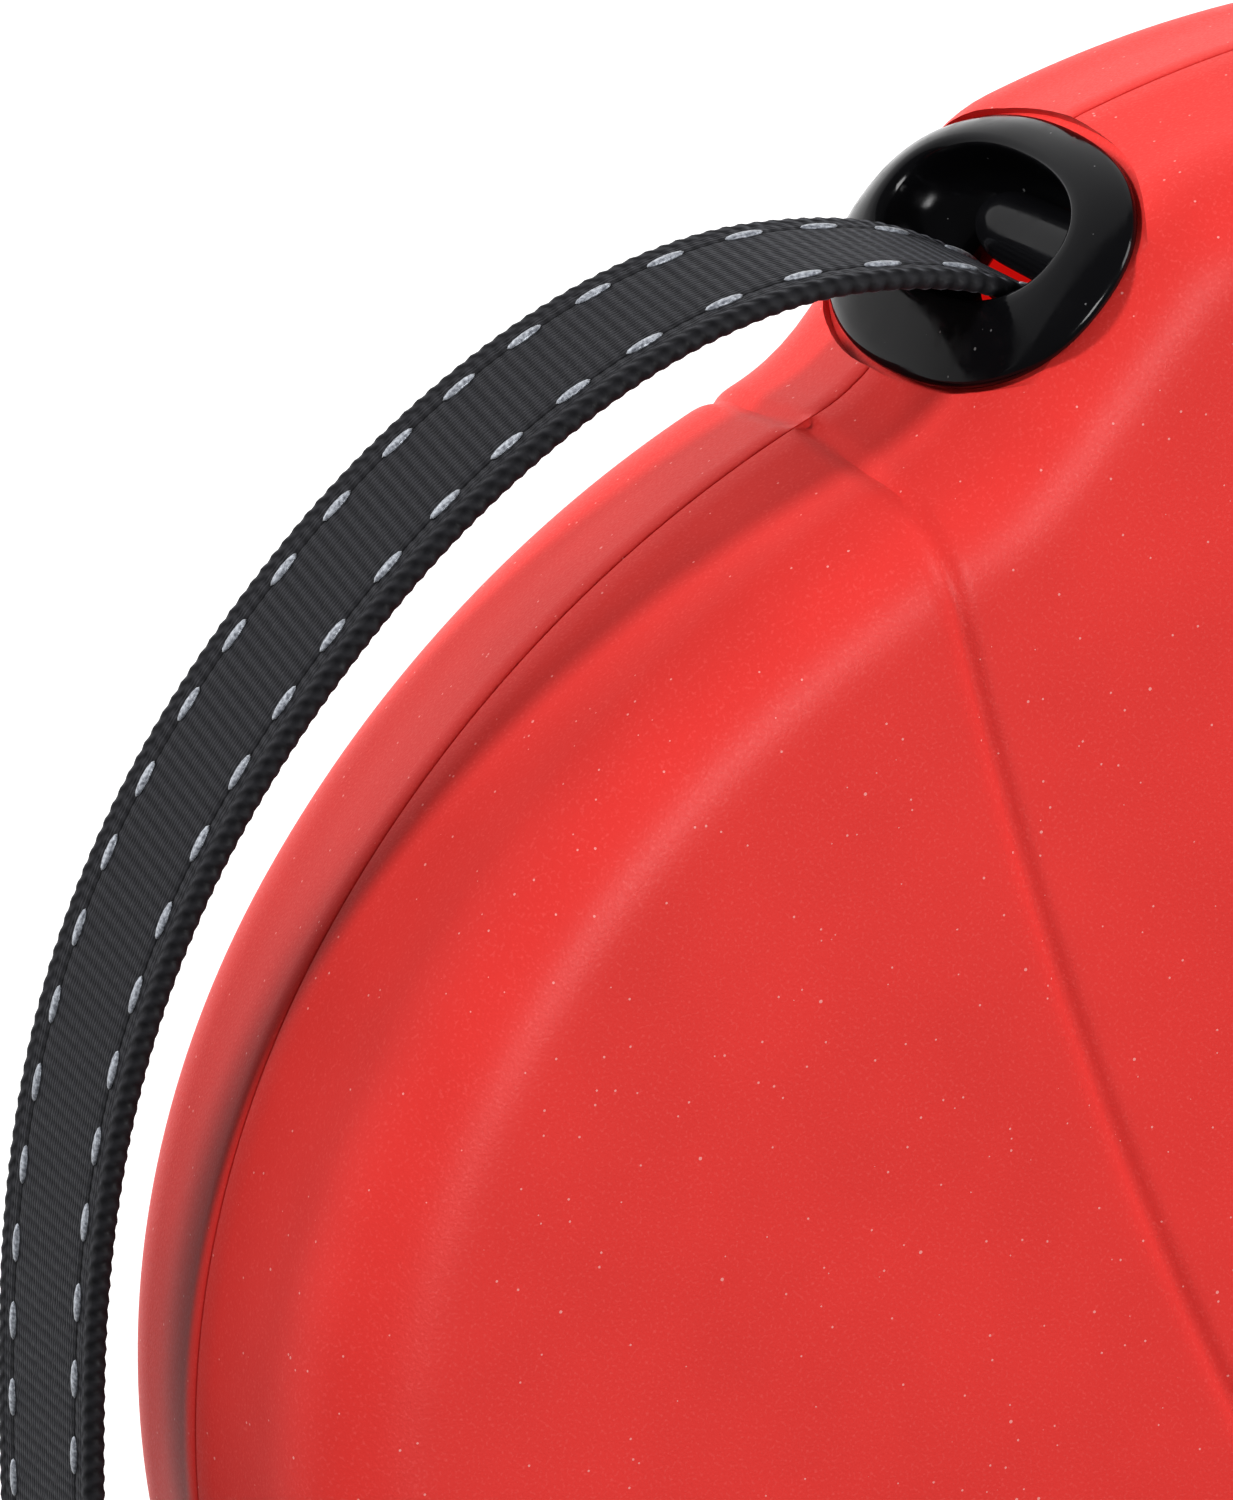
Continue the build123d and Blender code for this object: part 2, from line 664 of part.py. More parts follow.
eye_half = 11.0
eye_far_x = barrel_x - 2 * eye_wire_r
with BuildPart() as swivel_eye:
    with BuildLine() as ring:
        FilletPolyline((eye_x, end_y - eye_half, end_z), (eye_x, end_y + eye_half, end_z),
                       (eye_far_x, end_y + eye_half, end_z), (eye_far_x, end_y - eye_half, end_z),
                       (eye_x, end_y - eye_half, end_z), radius=3.0, close=True)
    with BuildSketch(Plane(origin=(eye_x, end_y, end_z), z_dir=(0, 1, 0))):
        Circle(eye_wire_r)
    sweep(path=ring.wire())
    rod(2.2, eye_far_x, barrel_x + 5.5, end_y, end_z)
    rod(3.3, barrel_x + 3.5, barrel_x + 5.5, end_y, end_z)
export(swivel_eye, "swivel_eye")

knob_x = tube_end_x - 6
bow_y = end_y + bow_rise
with BuildPart() as hook_body:
    rod(barrel_r, barrel_x, tube_x, end_y, end_z)
    rod(tube_r, tube_x - 1, tube_end_x, end_y, end_z)
    with BuildLine() as bow:
        FilletPolyline((tube_x + 6, end_y, end_z), (tube_x + 11, bow_y, end_z),
                       (tip_x + bow_bend, bow_y, end_z), (tip_x + bow_bend, end_y, end_z),
                       (tip_x, end_y, end_z), radius=[6.0, bow_bend - 0.5, bow_bend - 0.5])
    with BuildSketch(Plane(origin=bow.line @ 1, z_dir=(1, 0, 0))):
        Circle(bow_wire_r)
    sweep(path=bow.wire())
    rod(2.3, barrel_x - 1, barrel_x + 3.3, end_y, end_z, Mode.SUBTRACT)
    rod(3.5, barrel_x + 3.3, barrel_x + 5.8, end_y, end_z, Mode.SUBTRACT)
    rod(bolt_r + 0.08, tube_x + 0.5, tube_end_x + 0.01, end_y, end_z, Mode.SUBTRACT)
    block((knob_x - bolt_travel - 1.8, knob_x + 1.8), (end_y - tube_r - 1, end_y),
          (end_z - 1.5, end_z + 1.5), Mode.SUBTRACT)
export(hook_body, "hook_body")

bolt_back = tube_end_x - 9.0
with BuildPart() as snap_bolt:
    rod(bolt_r, bolt_back, tip_x - 0.15, end_y, end_z)
    chamfer(snap_bolt.faces().sort_by(Axis.X)[-1].edges(), 0.5)
    with Locations((knob_x, end_y - 3.7, end_z)):
        Cylinder(1.3, 7.4, rotation=(90, 0, 0))
    with Locations((knob_x, end_y - 7.8, end_z)):
        Cylinder(2.2, 2.0, rotation=(90, 0, 0))
export(snap_bolt, "snap_bolt")

with BuildPart() as bolt_spring:
    add(compression_spring((tube_x + 0.9, end_y, end_z), (1, 0, 0), bolt_back - tube_x - 1.4,
                           bolt_r - 0.5, 0.2, 6))
export(bolt_spring, "bolt_spring")
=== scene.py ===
import math

import bmesh
import bpy
from mathutils import Matrix, Vector
from mathutils.geometry import delaunay_2d_cdt


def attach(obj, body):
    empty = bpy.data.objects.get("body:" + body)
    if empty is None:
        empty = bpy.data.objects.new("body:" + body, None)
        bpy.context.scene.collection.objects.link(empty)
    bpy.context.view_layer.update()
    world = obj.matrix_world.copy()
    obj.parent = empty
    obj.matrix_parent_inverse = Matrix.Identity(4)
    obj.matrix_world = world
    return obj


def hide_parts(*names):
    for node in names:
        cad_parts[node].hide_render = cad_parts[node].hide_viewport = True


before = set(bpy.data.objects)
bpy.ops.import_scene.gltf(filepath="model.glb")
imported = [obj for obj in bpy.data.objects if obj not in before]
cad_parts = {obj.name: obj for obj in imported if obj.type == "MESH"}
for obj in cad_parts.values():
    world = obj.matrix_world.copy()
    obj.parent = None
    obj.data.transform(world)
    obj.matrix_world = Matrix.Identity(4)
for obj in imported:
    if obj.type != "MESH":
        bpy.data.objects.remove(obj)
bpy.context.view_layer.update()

# ---------------------------------------------------------------- Camera, light and floor
# A long lens looks down on the casing, which floats on its side over a white floor that glows, a
# painted pool of light brightest round the casing. A key light stands before it and a weaker one over
# its top.
# Two small ones, level with the rim and behind it, throw the tape's shadow on the seam and lift the
# far rim.
MM = 0.001
VIEW_BACK = Vector((-0.496, -0.055, 0.865)).normalized()
VIEW_UP = Vector((-0.5495, 0.792, -0.265))
AIM = Vector((-48.9, 9.3, 17.5)) * MM
FRAME_HEIGHT = 90.0 * MM
LENS = 250.0
SENSOR = 36.0


def facing(back, up):
    """A turn whose Z looks back along a direction, with Y as near to up as it can be."""
    back = back.normalized()
    right = up.cross(back).normalized()
    return Matrix((right, back.cross(right), back)).transposed().to_4x4()


def shown(name, data):
    """A new object in the scene."""
    piece = bpy.data.objects.new(name, data)
    bpy.context.scene.collection.objects.link(piece)
    return piece


camera_data = bpy.data.cameras.new("camera")
camera_data.sensor_fit = "VERTICAL"
camera_data.sensor_height = SENSOR
camera_data.lens = LENS
camera_data.clip_start, camera_data.clip_end = 0.01, 20.0
camera = shown("camera", camera_data)
distance = FRAME_HEIGHT * LENS / SENSOR
camera.matrix_world = Matrix.Translation(AIM + VIEW_BACK * distance) @ facing(VIEW_BACK, VIEW_UP)
bpy.context.scene.camera = camera
bpy.context.scene.view_settings.view_transform = "Standard"
bpy.context.scene.view_settings.look = "Medium High Contrast"


def softbox(name, place, size, power, mirrored=True):
    """A square area light that points at the casing. Glossy faces mirror it unless told not to."""
    data = bpy.data.lights.new(name, "AREA")
    data.shape = "SQUARE"
    data.size = size
    data.energy = power
    light = shown(name, data)
    light.visible_glossy = mirrored
    at = Vector(place)
    light.matrix_world = Matrix.Translation(at) @ facing(at - AIM, Vector((0.1, 0.2, 1)))


softbox("key_light", (-0.14, 0.08, 0.75), 0.3, 3.4)
softbox("side_light", (-0.74, 0.02, -0.02), 0.12, 2.4, mirrored=False)
softbox("rear_light", (-0.285, 0.01, -0.33), 0.12, 1.6, mirrored=False)
softbox("top_light", (0.1, 0.6, 0.3), 0.3, 1.6)

world = bpy.data.worlds.new("studio")
bpy.context.scene.world = world
world.use_nodes = True
world.node_tree.nodes["Background"].inputs["Color"].default_value = (1, 1, 1, 1)
world.node_tree.nodes["Background"].inputs["Strength"].default_value = 0.1

FLOOR_SIZE = 3.0
FLOOR_Z = -0.4
FLOOR_GLOW_MIDDLE = (0.19, 0.036, FLOOR_Z)    # the middle of the floor's painted pool of light


def principled(name, colour, roughness, **sockets):
    """A material with one Principled shader, and its plain values."""
    material = bpy.data.materials.new(name)
    material.use_nodes = True
    shader = material.node_tree.nodes["Principled BSDF"]
    shader.inputs["Base Color"].default_value = (*colour, 1)
    shader.inputs["Roughness"].default_value = roughness
    for socket, value in sockets.items():
        shader.inputs[socket.replace("_", " ")].default_value = value
    return material


def add_node(tree, kind, inputs=None, **settings):
    """A new node with its settings. Each input takes a plain value or another node's output."""
    node = tree.nodes.new(kind)
    for setting, value in settings.items():
        setattr(node, setting, value)
    for socket, value in (inputs or {}).items():
        if isinstance(value, bpy.types.NodeSocket):
            tree.links.new(value, node.inputs[socket])
        else:
            node.inputs[socket].default_value = value
    return node


def feed(tree, **sockets):
    """Link outputs to the sockets of a material's shader."""
    for socket, value in sockets.items():
        tree.links.new(value, tree.nodes["Principled BSDF"].inputs[socket.replace("_", " ")])


def add_mesh(name, verts, faces, material=None, scale=MM):
    """A mesh object at the origin, its points given in millimetres."""
    mesh = bpy.data.meshes.new(name)
    mesh.from_pydata([[c * scale for c in v] for v in verts], [], faces)
    piece = shown(name, mesh)
    if material:
        mesh.materials.append(material)
    return piece


half_floor = FLOOR_SIZE / 2
# The floor glows rather than being lit: a painted pool of light, full white round the casing and
# fading to half further out, which also lights the casing from below
floor_glow = principled("floor_glow", (0.1, 0.1, 0.1), 0.9, Emission_Color=(1, 1, 1, 1))
floor_piece = add_mesh(
    "floor",
    [(-half_floor, -half_floor, FLOOR_Z), (half_floor, -half_floor, FLOOR_Z),
     (half_floor, half_floor, FLOOR_Z), (-half_floor, half_floor, FLOOR_Z)],
    [(0, 1, 2, 3)], floor_glow, 1.0)
floor_tree = floor_glow.node_tree
floor_place = add_node(floor_tree, "ShaderNodeTexCoord").outputs["Object"]
floor_reach = add_node(floor_tree, "ShaderNodeVectorMath", {0: floor_place, 1: FLOOR_GLOW_MIDDLE},
                       operation="DISTANCE")
floor_glow_fade = add_node(floor_tree, "ShaderNodeMapRange", {
    "Value": floor_reach.outputs["Value"], "From Min": 0.14, "From Max": 0.42, "To Min": 1.04,
    "To Max": 0.5}, interpolation_type="SMOOTHSTEP")
feed(floor_tree, Emission_Strength=floor_glow_fade.outputs["Result"])

# ---------------------------------------------------------------- Casing
# Two halves of glass-filled plastic, each under a thin soft-touch rubber coat, meet at a seam round
# the rim. Each is a skin two millimetres thick with a rounded side face and a shallow styling crease.
SEAM_Z = 17.5
DISC_R = 58.0
BACK = ((22.0, 18.0), 82.0)      # an arc's centre and radius, as for the crease
CORNER_R = 30.0
CORNER_ANGLE = -12.0
FRONT_X = -51.2
FRONT_LEAN = 0.5
SWELL_R = 75.0
SWELL_ANGLE = 190.0
NECK_R = 12.0
BROW_R = 12.0
HOLE_MID_R = 75.0
HOLE_HALF = 15.0
HOLE_ARC = (12.0, 75.0)
CREASE = ((98.9, 243.0), 260.0)
CREASE_DEPTH = 0.42
CREASE_HALF = 0.62
CREASE_START, CREASE_END = 205.0, 257.0      # the groove runs out on the side face
CREASE_FADE = 4.0        # degrees over which it runs out
FINE_STEP = 0.4
STEP = 1.2
WALL = 2.0
FLOOR_HIGH = 15.0        # inner floor, above the seam


def eased(share):
    """A share from 0 to 1 with soft ends."""
    return share * share * (3 - 2 * share)


def polar(centre, radius, angle):
    """The point on a circle at an angle in degrees."""
    turn = math.radians(angle)
    return (centre[0] + radius * math.cos(turn), centre[1] + radius * math.sin(turn))


def crease_distance(x, y):
    """How far a point lies from the crease's middle line."""
    return abs(math.hypot(x - CREASE[0][0], y - CREASE[0][1]) - CREASE[1])


def sample(pieces):
    """Points and inward normals round a loop of arcs and lines, closer together near the crease."""
    points = []
    for piece in pieces:
        if piece[0] == "arc":
            _, centre, radius, start, end, outside = piece
            length = abs(math.radians(end - start)) * radius
        else:
            _, first, last, normal = piece
            length = math.dist(first, last)
        along = 0.0
        while along < length - 0.15:
            share = along / length
            if piece[0] == "arc":
                angle = start + (end - start) * share
                place = polar(centre, radius, angle)
                lean = polar((0, 0), -1.0 if outside else 1.0, angle)
            else:
                place = tuple(a + (b - a) * share for a, b in zip(first, last))
                lean = normal
            points.append((place, lean))
            along += FINE_STEP if crease_distance(*place) < 4 else STEP
    return points


def casing_loop():
    """The seam's outline, counter-clockwise from the front."""
    swell_centre = polar((0, 0), DISC_R - SWELL_R, SWELL_ANGLE)
    neck_side = FRONT_X - NECK_R - swell_centre[0]
    neck_rise = math.sqrt((SWELL_R + NECK_R) ** 2 - neck_side ** 2)
    neck_centre = (FRONT_X - NECK_R, swell_centre[1] + neck_rise)
    neck_angle = math.degrees(math.atan2(neck_rise, neck_side))
    corner_centre = polar(BACK[0], BACK[1] - CORNER_R, CORNER_ANGLE)
    lean = math.degrees(math.atan2(corner_centre[1], corner_centre[0]))
    under = lean - math.degrees(math.acos((DISC_R - CORNER_R) / math.hypot(*corner_centre)))
    brow_x = FRONT_X - FRONT_LEAN + BROW_R
    brow_rise = math.sqrt((BACK[1] - BROW_R) ** 2 - (brow_x - BACK[0][0]) ** 2)
    brow_centre = (brow_x, BACK[0][1] + brow_rise)
    brow_angle = math.degrees(math.atan2(brow_rise, brow_x - BACK[0][0]))
    tangent = polar((0, 0), 1, under)
    return sample([
        ("line", (FRONT_X - FRONT_LEAN, brow_centre[1]), (FRONT_X, neck_centre[1]), (1, 0)),
        ("arc", neck_centre, NECK_R, 0, neck_angle - 180, False),
        ("arc", swell_centre, SWELL_R, neck_angle, SWELL_ANGLE, True),
        ("arc", (0, 0), DISC_R, SWELL_ANGLE, under + 360, True),
        ("line", polar((0, 0), DISC_R, under), polar(corner_centre, CORNER_R, under),
         (-tangent[0], -tangent[1])),
        ("arc", corner_centre, CORNER_R, under, CORNER_ANGLE, True),
        ("arc", BACK[0], BACK[1], CORNER_ANGLE, brow_angle, True),
        ("arc", brow_centre, BROW_R, brow_angle, 180, True),
    ])


def hole_loop():
    """The finger hole's outline, clockwise, with normals that point into the material."""
    ends = [polar((0, 0), HOLE_MID_R, a) for a in HOLE_ARC]
    start, end = HOLE_ARC
    return sample([
        ("arc", (0, 0), HOLE_MID_R + HOLE_HALF, end, start, False),
        ("arc", ends[0], HOLE_HALF, start, start - 180, False),
        ("arc", (0, 0), HOLE_MID_R - HOLE_HALF, start, end, True),
        ("arc", ends[1], HOLE_HALF, end + 180, end, False),
    ])


ROUNDNESS = 0.88         # 1 is an ellipse, and less is squarer


def rounded_profile(inset, high, lean, straight, steps):
    """Inset and height from the seam up a leaning wall and round on to the side face."""
    profile = [(0.28, 0.0), (0.08, 0.1), (0.0, 0.3)]
    for i in range(1, 5):
        height = straight * i / 4
        profile.append((lean * height, height))
    start = lean * straight
    for i in range(1, steps + 1):
        turn = math.pi / 2 * i / steps
        across = 1 - max(math.cos(turn), 0) ** ROUNDNESS
        rise = math.sin(turn) ** ROUNDNESS
        profile.append((start + (inset - start) * across, straight + (high - straight) * rise))
    return profile


RIM_INSET = 8.2
HOLE_INSET = 4.2
outer_profile = rounded_profile(RIM_INSET, SEAM_Z, 0.12, 8.5, 14)
hole_profile = rounded_profile(HOLE_INSET, SEAM_Z, 0.0, 13.3, 8)
inner_profile = [(WALL, 0.0), (2.5, 4.0), (3.0, 8.0), (4.2, 12.0), (6.0, 14.3),
                 (RIM_INSET, FLOOR_HIGH)]
inner_hole_profile = [(WALL, 0.0), (WALL, 8.0), (WALL, 13.0), (2.7, 14.5),
                      (HOLE_INSET, FLOOR_HIGH)]


def crease_points():
    """Rows of points along the crease, so that its groove has smooth sides."""
    offsets = (-2.2, -1.5, -1.1, -0.8, -0.5, -0.25, 0, 0.25, 0.5, 0.8, 1.1, 1.5, 2.2)
    rows = []
    for i in range(330):
        angle = CREASE_START + i * 0.16
        rows += [polar(CREASE[0], CREASE[1] + away, angle) for away in offsets]
    return rows


def inside(loop, x, y):
    """True when a point lies inside a closed loop of points."""
    within = False
    for (x0, y0), (x1, y1) in zip(loop, loop[1:] + loop[:1]):
        if (y0 > y) != (y1 > y) and x < (x1 - x0) * (y - y0) / (y1 - y0) + x0:
            within = not within
    return within


def shell_mesh():
    """Vertices and faces of one casing half above the seam: skin, inner wall and seam faces."""
    rim, hole = casing_loop(), hole_loop()
    verts, faces = [], []

    def bands(loop, profile, flip):
        """A wall swept round a loop. Returns the vertex numbers of its first and last row."""
        count = len(loop)
        base = len(verts)
        for inset, height in profile:
            for (x, y), (nx, ny) in loop:
                verts.append([x + nx * inset, y + ny * inset, height])
        for row in range(len(profile) - 1):
            for i in range(count):
                j = (i + 1) % count
                quad = [base + row * count + i, base + row * count + j,
                        base + (row + 1) * count + j, base + (row + 1) * count + i]
                faces.append(quad[::-1] if flip else quad)
        first = list(range(base, base + count))
        last = list(range(base + (len(profile) - 1) * count, base + len(profile) * count))
        return first, last

    def plate(rim_row, hole_row, height, extra, flip):
        """A flat face between the last row of the rim and of the hole."""
        rim_loop = [tuple(verts[i][:2]) for i in rim_row]
        hole_loop_points = [tuple(verts[i][:2]) for i in hole_row]
        inner = [p for p in extra if inside(rim_loop, *p) and not inside(hole_loop_points, *p)]
        points = [Vector(p) for p in rim_loop + hole_loop_points + inner]
        first, second = len(rim_loop), len(hole_loop_points)
        edges = [(i, (i + 1) % first) for i in range(first)]
        edges += [(first + i, first + (i + 1) % second) for i in range(second)]
        out, _, tris, origin, _, _ = delaunay_2d_cdt(points, edges, [], 0, 1e-5)
        number = {}
        known = list(rim_row) + list(hole_row)
        for i, (place, came) in enumerate(zip(out, origin)):
            fixed = [c for c in came if c < first + second]
            if fixed:
                number[i] = known[fixed[0]]
            else:
                number[i] = len(verts)
                verts.append([place.x, place.y, height])
        for tri in tris:
            middle = sum((out[i] for i in tri), Vector((0, 0))) / 3
            if not inside(rim_loop, *middle) or inside(hole_loop_points, *middle):
                continue
            turned = [number[i] for i in tri]
            faces.append(turned[::-1] if flip else turned)

    rim_low, rim_high = bands(rim, outer_profile, False)
    hole_low, hole_high = bands(hole, hole_profile, False)
    grid = [(x * 3.0 - 60, y * 3.0 - 60) for x in range(58) for y in range(56)]
    grid = [p for p in grid if crease_distance(*p) > 3.2]
    plate(rim_high, hole_high, SEAM_Z, crease_points() + grid, False)
    in_low, in_high = bands(rim, inner_profile, True)
    in_hole_low, in_hole_high = bands(hole, inner_hole_profile, True)
    plate(in_high, in_hole_high, FLOOR_HIGH, [], True)
    for outer, inner in ((rim_low, in_low), (hole_low, in_hole_low)):
        count = len(outer)
        for i in range(count):
            j = (i + 1) % count
            faces.append([outer[j], outer[i], inner[i], inner[j]])
    return verts, faces, in_low[0]


def press_crease(mesh, limit):
    """Push the crease's groove into the outer skin along its normals."""
    mesh.update()
    moved = []
    for vert in mesh.vertices:
        if vert.index >= limit:
            continue
        x, y = vert.co.x / MM, vert.co.y / MM
        angle = math.degrees(math.atan2(y - CREASE[0][1], x - CREASE[0][0])) % 360
        fade = min(max((CREASE_END - angle) / CREASE_FADE, 0), 1)
        sunk = CREASE_DEPTH * fade * math.exp(-((crease_distance(x, y) / CREASE_HALF) ** 2))
        if vert.co.z > 0.2 * MM and sunk > 0.002:
            moved.append((vert.index, vert.co - vert.normal * sunk * MM))
    for index, place in moved:
        mesh.vertices[index].co = place


def oval(width, height, centre_y, x, count=64, fullness=2.25):
    """Points of a full oval on a plane across X, long along Z, about the seam."""
    ring = []
    for i in range(count):
        turn = 2 * math.pi * i / count
        rise, side = math.cos(turn), math.sin(turn)
        reach = (abs(rise) ** fullness + abs(side) ** fullness) ** (-1 / fullness)
        ring.append((x, centre_y + height / 2 * rise * reach, SEAM_Z + width / 2 * side * reach))
    return ring


def loft(rings, caps=True):
    """Faces between rings of the same number of points."""
    verts = [p for ring in rings for p in ring]
    count = len(rings[0])
    faces = []
    for row in range(len(rings) - 1):
        for i in range(count):
            j = (i + 1) % count
            faces.append([row * count + i, row * count + j,
                          (row + 1) * count + j, (row + 1) * count + i])
    if caps:
        faces.append(list(range(count))[::-1])
        faces.append([(len(rings) - 1) * count + i for i in range(count)])
    return verts, faces


def recalculated(piece, merge=True):
    """Point every face outwards, and merge doubles first."""
    bm = bmesh.new()
    bm.from_mesh(piece.data)
    if merge:
        bmesh.ops.remove_doubles(bm, verts=bm.verts, dist=1e-7)
    bmesh.ops.recalc_face_normals(bm, faces=bm.faces)
    bm.to_mesh(piece.data)
    bm.free()


def smooth(piece, angle=30):
    """Shade a piece smooth, with sharp edges past an angle."""
    for polygon in piece.data.polygons:
        polygon.use_smooth = True
    piece.data.set_sharp_from_angle(angle=math.radians(angle))


def evaluated_mesh(piece):
    """A plain mesh of a piece, with its modifiers applied."""
    depsgraph = bpy.context.evaluated_depsgraph_get()
    return bpy.data.meshes.new_from_object(piece.evaluated_get(depsgraph))


def cut(piece, cutter):
    """Take a cutter's room out of a piece."""
    modifier = piece.modifiers.new("cut", "BOOLEAN")
    modifier.operation = "DIFFERENCE"
    modifier.solver = "EXACT"
    modifier.object = cutter
    result = evaluated_mesh(piece)
    piece.modifiers.clear()
    old = piece.data
    piece.data = result
    bpy.data.meshes.remove(old)
    bpy.data.objects.remove(cutter)


BRAKE_ANGLE = 105.0
out_dir = polar((0, 0), 1, BRAKE_ANGLE)
across_dir = (out_dir[1], -out_dir[0])


def brake_xy(across, out):
    """A point given across the brake's line and out along it from the reel's axis."""
    return (across * across_dir[0] + out * out_dir[0], across * across_dir[1] + out * out_dir[1])


def brake_box(across, out, z):
    """The corners and faces of a box laid along the brake's line."""
    flat = [brake_xy(a, o) for a, o in ((across[0], out[0]), (across[1], out[0]),
                                        (across[1], out[1]), (across[0], out[1]))]
    return loft([[(x, y, height) for x, y in flat] for height in z])


def joined(name, parts):
    """One mesh of several closed parts."""
    verts, faces = [], []
    for part_verts, part_faces in parts:
        base = len(verts)
        verts += list(part_verts)
        faces += [[base + i for i in face] for face in part_faces]
    return add_mesh(name, verts, faces)


def turned(profile, centre=(0, 0), count=40):
    """Points and faces of a turned part from (radius, height) pairs, about an upright axis."""
    return loft([[(*polar(centre, r, 360 * i / count), z) for i in range(count)] for r, z in profile])


def tube(centre, radius, low, high):
    """An upright cylinder's points and faces."""
    return turned([(radius, low), (radius, high)], centre, 32)


def round_end(low, radius, steps, stretch=1.0):
    """(radius, height) pairs of a round end that starts at a height."""
    turns = [math.pi / 2 * i / steps for i in range(steps + 1)]
    return [(max(radius * math.sin(turn), 0.02), low + stretch * radius * (1 - math.cos(turn)))
            for turn in turns]


SCREWS = [(-37, 60), (46.3, 87.2), (74, 64), (91.5, 13), (64, -17)]
BOSS_R = 3.6
SCREW_SEAT_R = 2.9
SHANK_R = 1.5
THREAD_R = 1.4
AXLE_BOSS_R = 6.5
AXLE_BORE_R = 3.5
NECK_OVAL = (25.2, 13.2, 46.4)       # width, height and centre's height
SEAT_OVAL = (31.8, 19.5, 46.5)
SEAT_X = -49.4


def build_shell(name, lower, material, inner_glowing_material):
    """One casing half with its bosses and openings, for the lower or the upper side of the seam."""
    verts, faces, skin_end = shell_mesh()
    piece = add_mesh(name, verts, faces, material)
    # the inside faces take the glowing inner material, a painted glow
    piece.data.materials.append(inner_glowing_material)
    for polygon in piece.data.polygons:
        if min(polygon.vertices) >= skin_end:
            polygon.material_index = 1
    press_crease(piece.data, skin_end)
    flip = -1 if lower else 1
    for vert in piece.data.vertices:
        vert.co.z = SEAM_Z * MM + flip * vert.co.z
    if lower:
        piece.data.flip_normals()
    low, high = (1.9, SEAM_Z) if lower else (SEAM_Z, 33.1)
    bosses = [tube(place, BOSS_R, low, high) for place in SCREWS]
    bosses.append(tube((0, 0), AXLE_BOSS_R, *((0.8, 7.0) if lower else (28.0, 34.2))))
    neck = loft([oval(*NECK_OVAL, x) for x in (-60.0, -44.0)])
    seat = loft([oval(*SEAT_OVAL, x) for x in (-60.0, SEAT_X)])
    button = brake_box((-13.3, 13.3), (74.0, 110.0), (9.5, 25.5))
    slot = brake_box((19.7, 32.3), (85.5, 110.0), (14.2, 20.8))
    screw_seats = [tube(place, SCREW_SEAT_R, -2.0, 2.5) for place in SCREWS] if lower else []
    cut(piece, joined("cutter", [neck, button, slot] + screw_seats))
    cut(piece, joined("cutter", [seat]))
    boss_piece = joined("bosses", bosses)
    bores = [tube((0, 0), AXLE_BORE_R, *((2.5, 8.0) if lower else (27.0, 32.5)))]
    for place in SCREWS:
        bores.append(tube(place, SHANK_R, -1.0, 36.0) if lower else tube(place, THREAD_R, 10.0, 26.0))
    cut(boss_piece, joined("cutter", bores))
    if screw_seats:
        cut(boss_piece, joined("cutter", screw_seats))
    if not boss_piece.data.materials:
        boss_piece.data.materials.append(material)
    both = [piece, boss_piece]
    with bpy.context.temp_override(active_object=piece, selected_editable_objects=both):
        bpy.ops.object.join()
    smooth(piece, 32)
    return piece


def value_noise(tree, vector, scale, detail=2.0):
    """A noise texture's value on given coordinates."""
    return add_node(tree, "ShaderNodeTexNoise",
                    {"Vector": vector, "Scale": scale, "Detail": detail}).outputs["Fac"]


def remap(tree, value, low, high, to_low, to_high):
    """A clamped linear change of range."""
    return add_node(tree, "ShaderNodeMapRange", {
        "Value": value, "From Min": low, "From Max": high, "To Min": to_low,
        "To Max": to_high}).outputs["Result"]


def mix_colour(tree, factor, first, second):
    """Blend two colours, each a plain value or a socket."""
    first, second = ((*c, 1) if isinstance(c, tuple) else c for c in (first, second))
    return add_node(tree, "ShaderNodeMix", {"Factor": factor, 6: first, 7: second},
                    data_type="RGBA").outputs[2]


def bump(tree, height, strength, reach, before=None):
    """A bump from a height, after another one."""
    node = add_node(tree, "ShaderNodeBump",
                    {"Height": height, "Strength": strength, "Distance": reach})
    if before:
        tree.links.new(before, node.inputs["Normal"])
    return node.outputs["Normal"]


def math_node(tree, operation, first, second=0.0):
    """One sum of two sockets or plain numbers."""
    return add_node(tree, "ShaderNodeMath", {0: first, 1: second}, operation=operation).outputs[0]


def dust_group():
    """Specks and short lint that stick to a rubbery surface: a mask, 1 on a speck."""
    group = bpy.data.node_groups.new("lint_and_dust", "ShaderNodeTree")
    group.interface.new_socket("Vector", in_out="INPUT", socket_type="NodeSocketVector")
    group.interface.new_socket("Amount", in_out="INPUT", socket_type="NodeSocketFloat")
    group.interface.new_socket("Mask", in_out="OUTPUT", socket_type="NodeSocketFloat")
    start = group.nodes.new("NodeGroupInput")
    masks = []
    for scale, size in ((800.0, 0.09), (2000.0, 0.16)):
        cells = add_node(group, "ShaderNodeTexVoronoi",
                         {"Vector": start.outputs["Vector"], "Scale": scale})
        near = math_node(group, "LESS_THAN", cells.outputs["Distance"], size)
        chosen = add_node(group, "ShaderNodeSeparateColor", {"Color": cells.outputs["Color"]})
        rare = math_node(group, "LESS_THAN", chosen.outputs["Red"], start.outputs["Amount"])
        masks.append(math_node(group, "MULTIPLY", near, rare))
    add_node(group, "NodeGroupOutput", {"Mask": math_node(group, "MAXIMUM", *masks)})
    return group


dust = dust_group()


def object_coordinates(tree):
    """The piece's own coordinates, in metres."""
    return add_node(tree, "ShaderNodeTexCoord").outputs["Object"]


def dusty(tree, vector, amount):
    """The lint mask with its own amount."""
    return add_node(tree, "ShaderNodeGroup", {"Vector": vector, "Amount": amount},
                    node_tree=dust).outputs["Mask"]


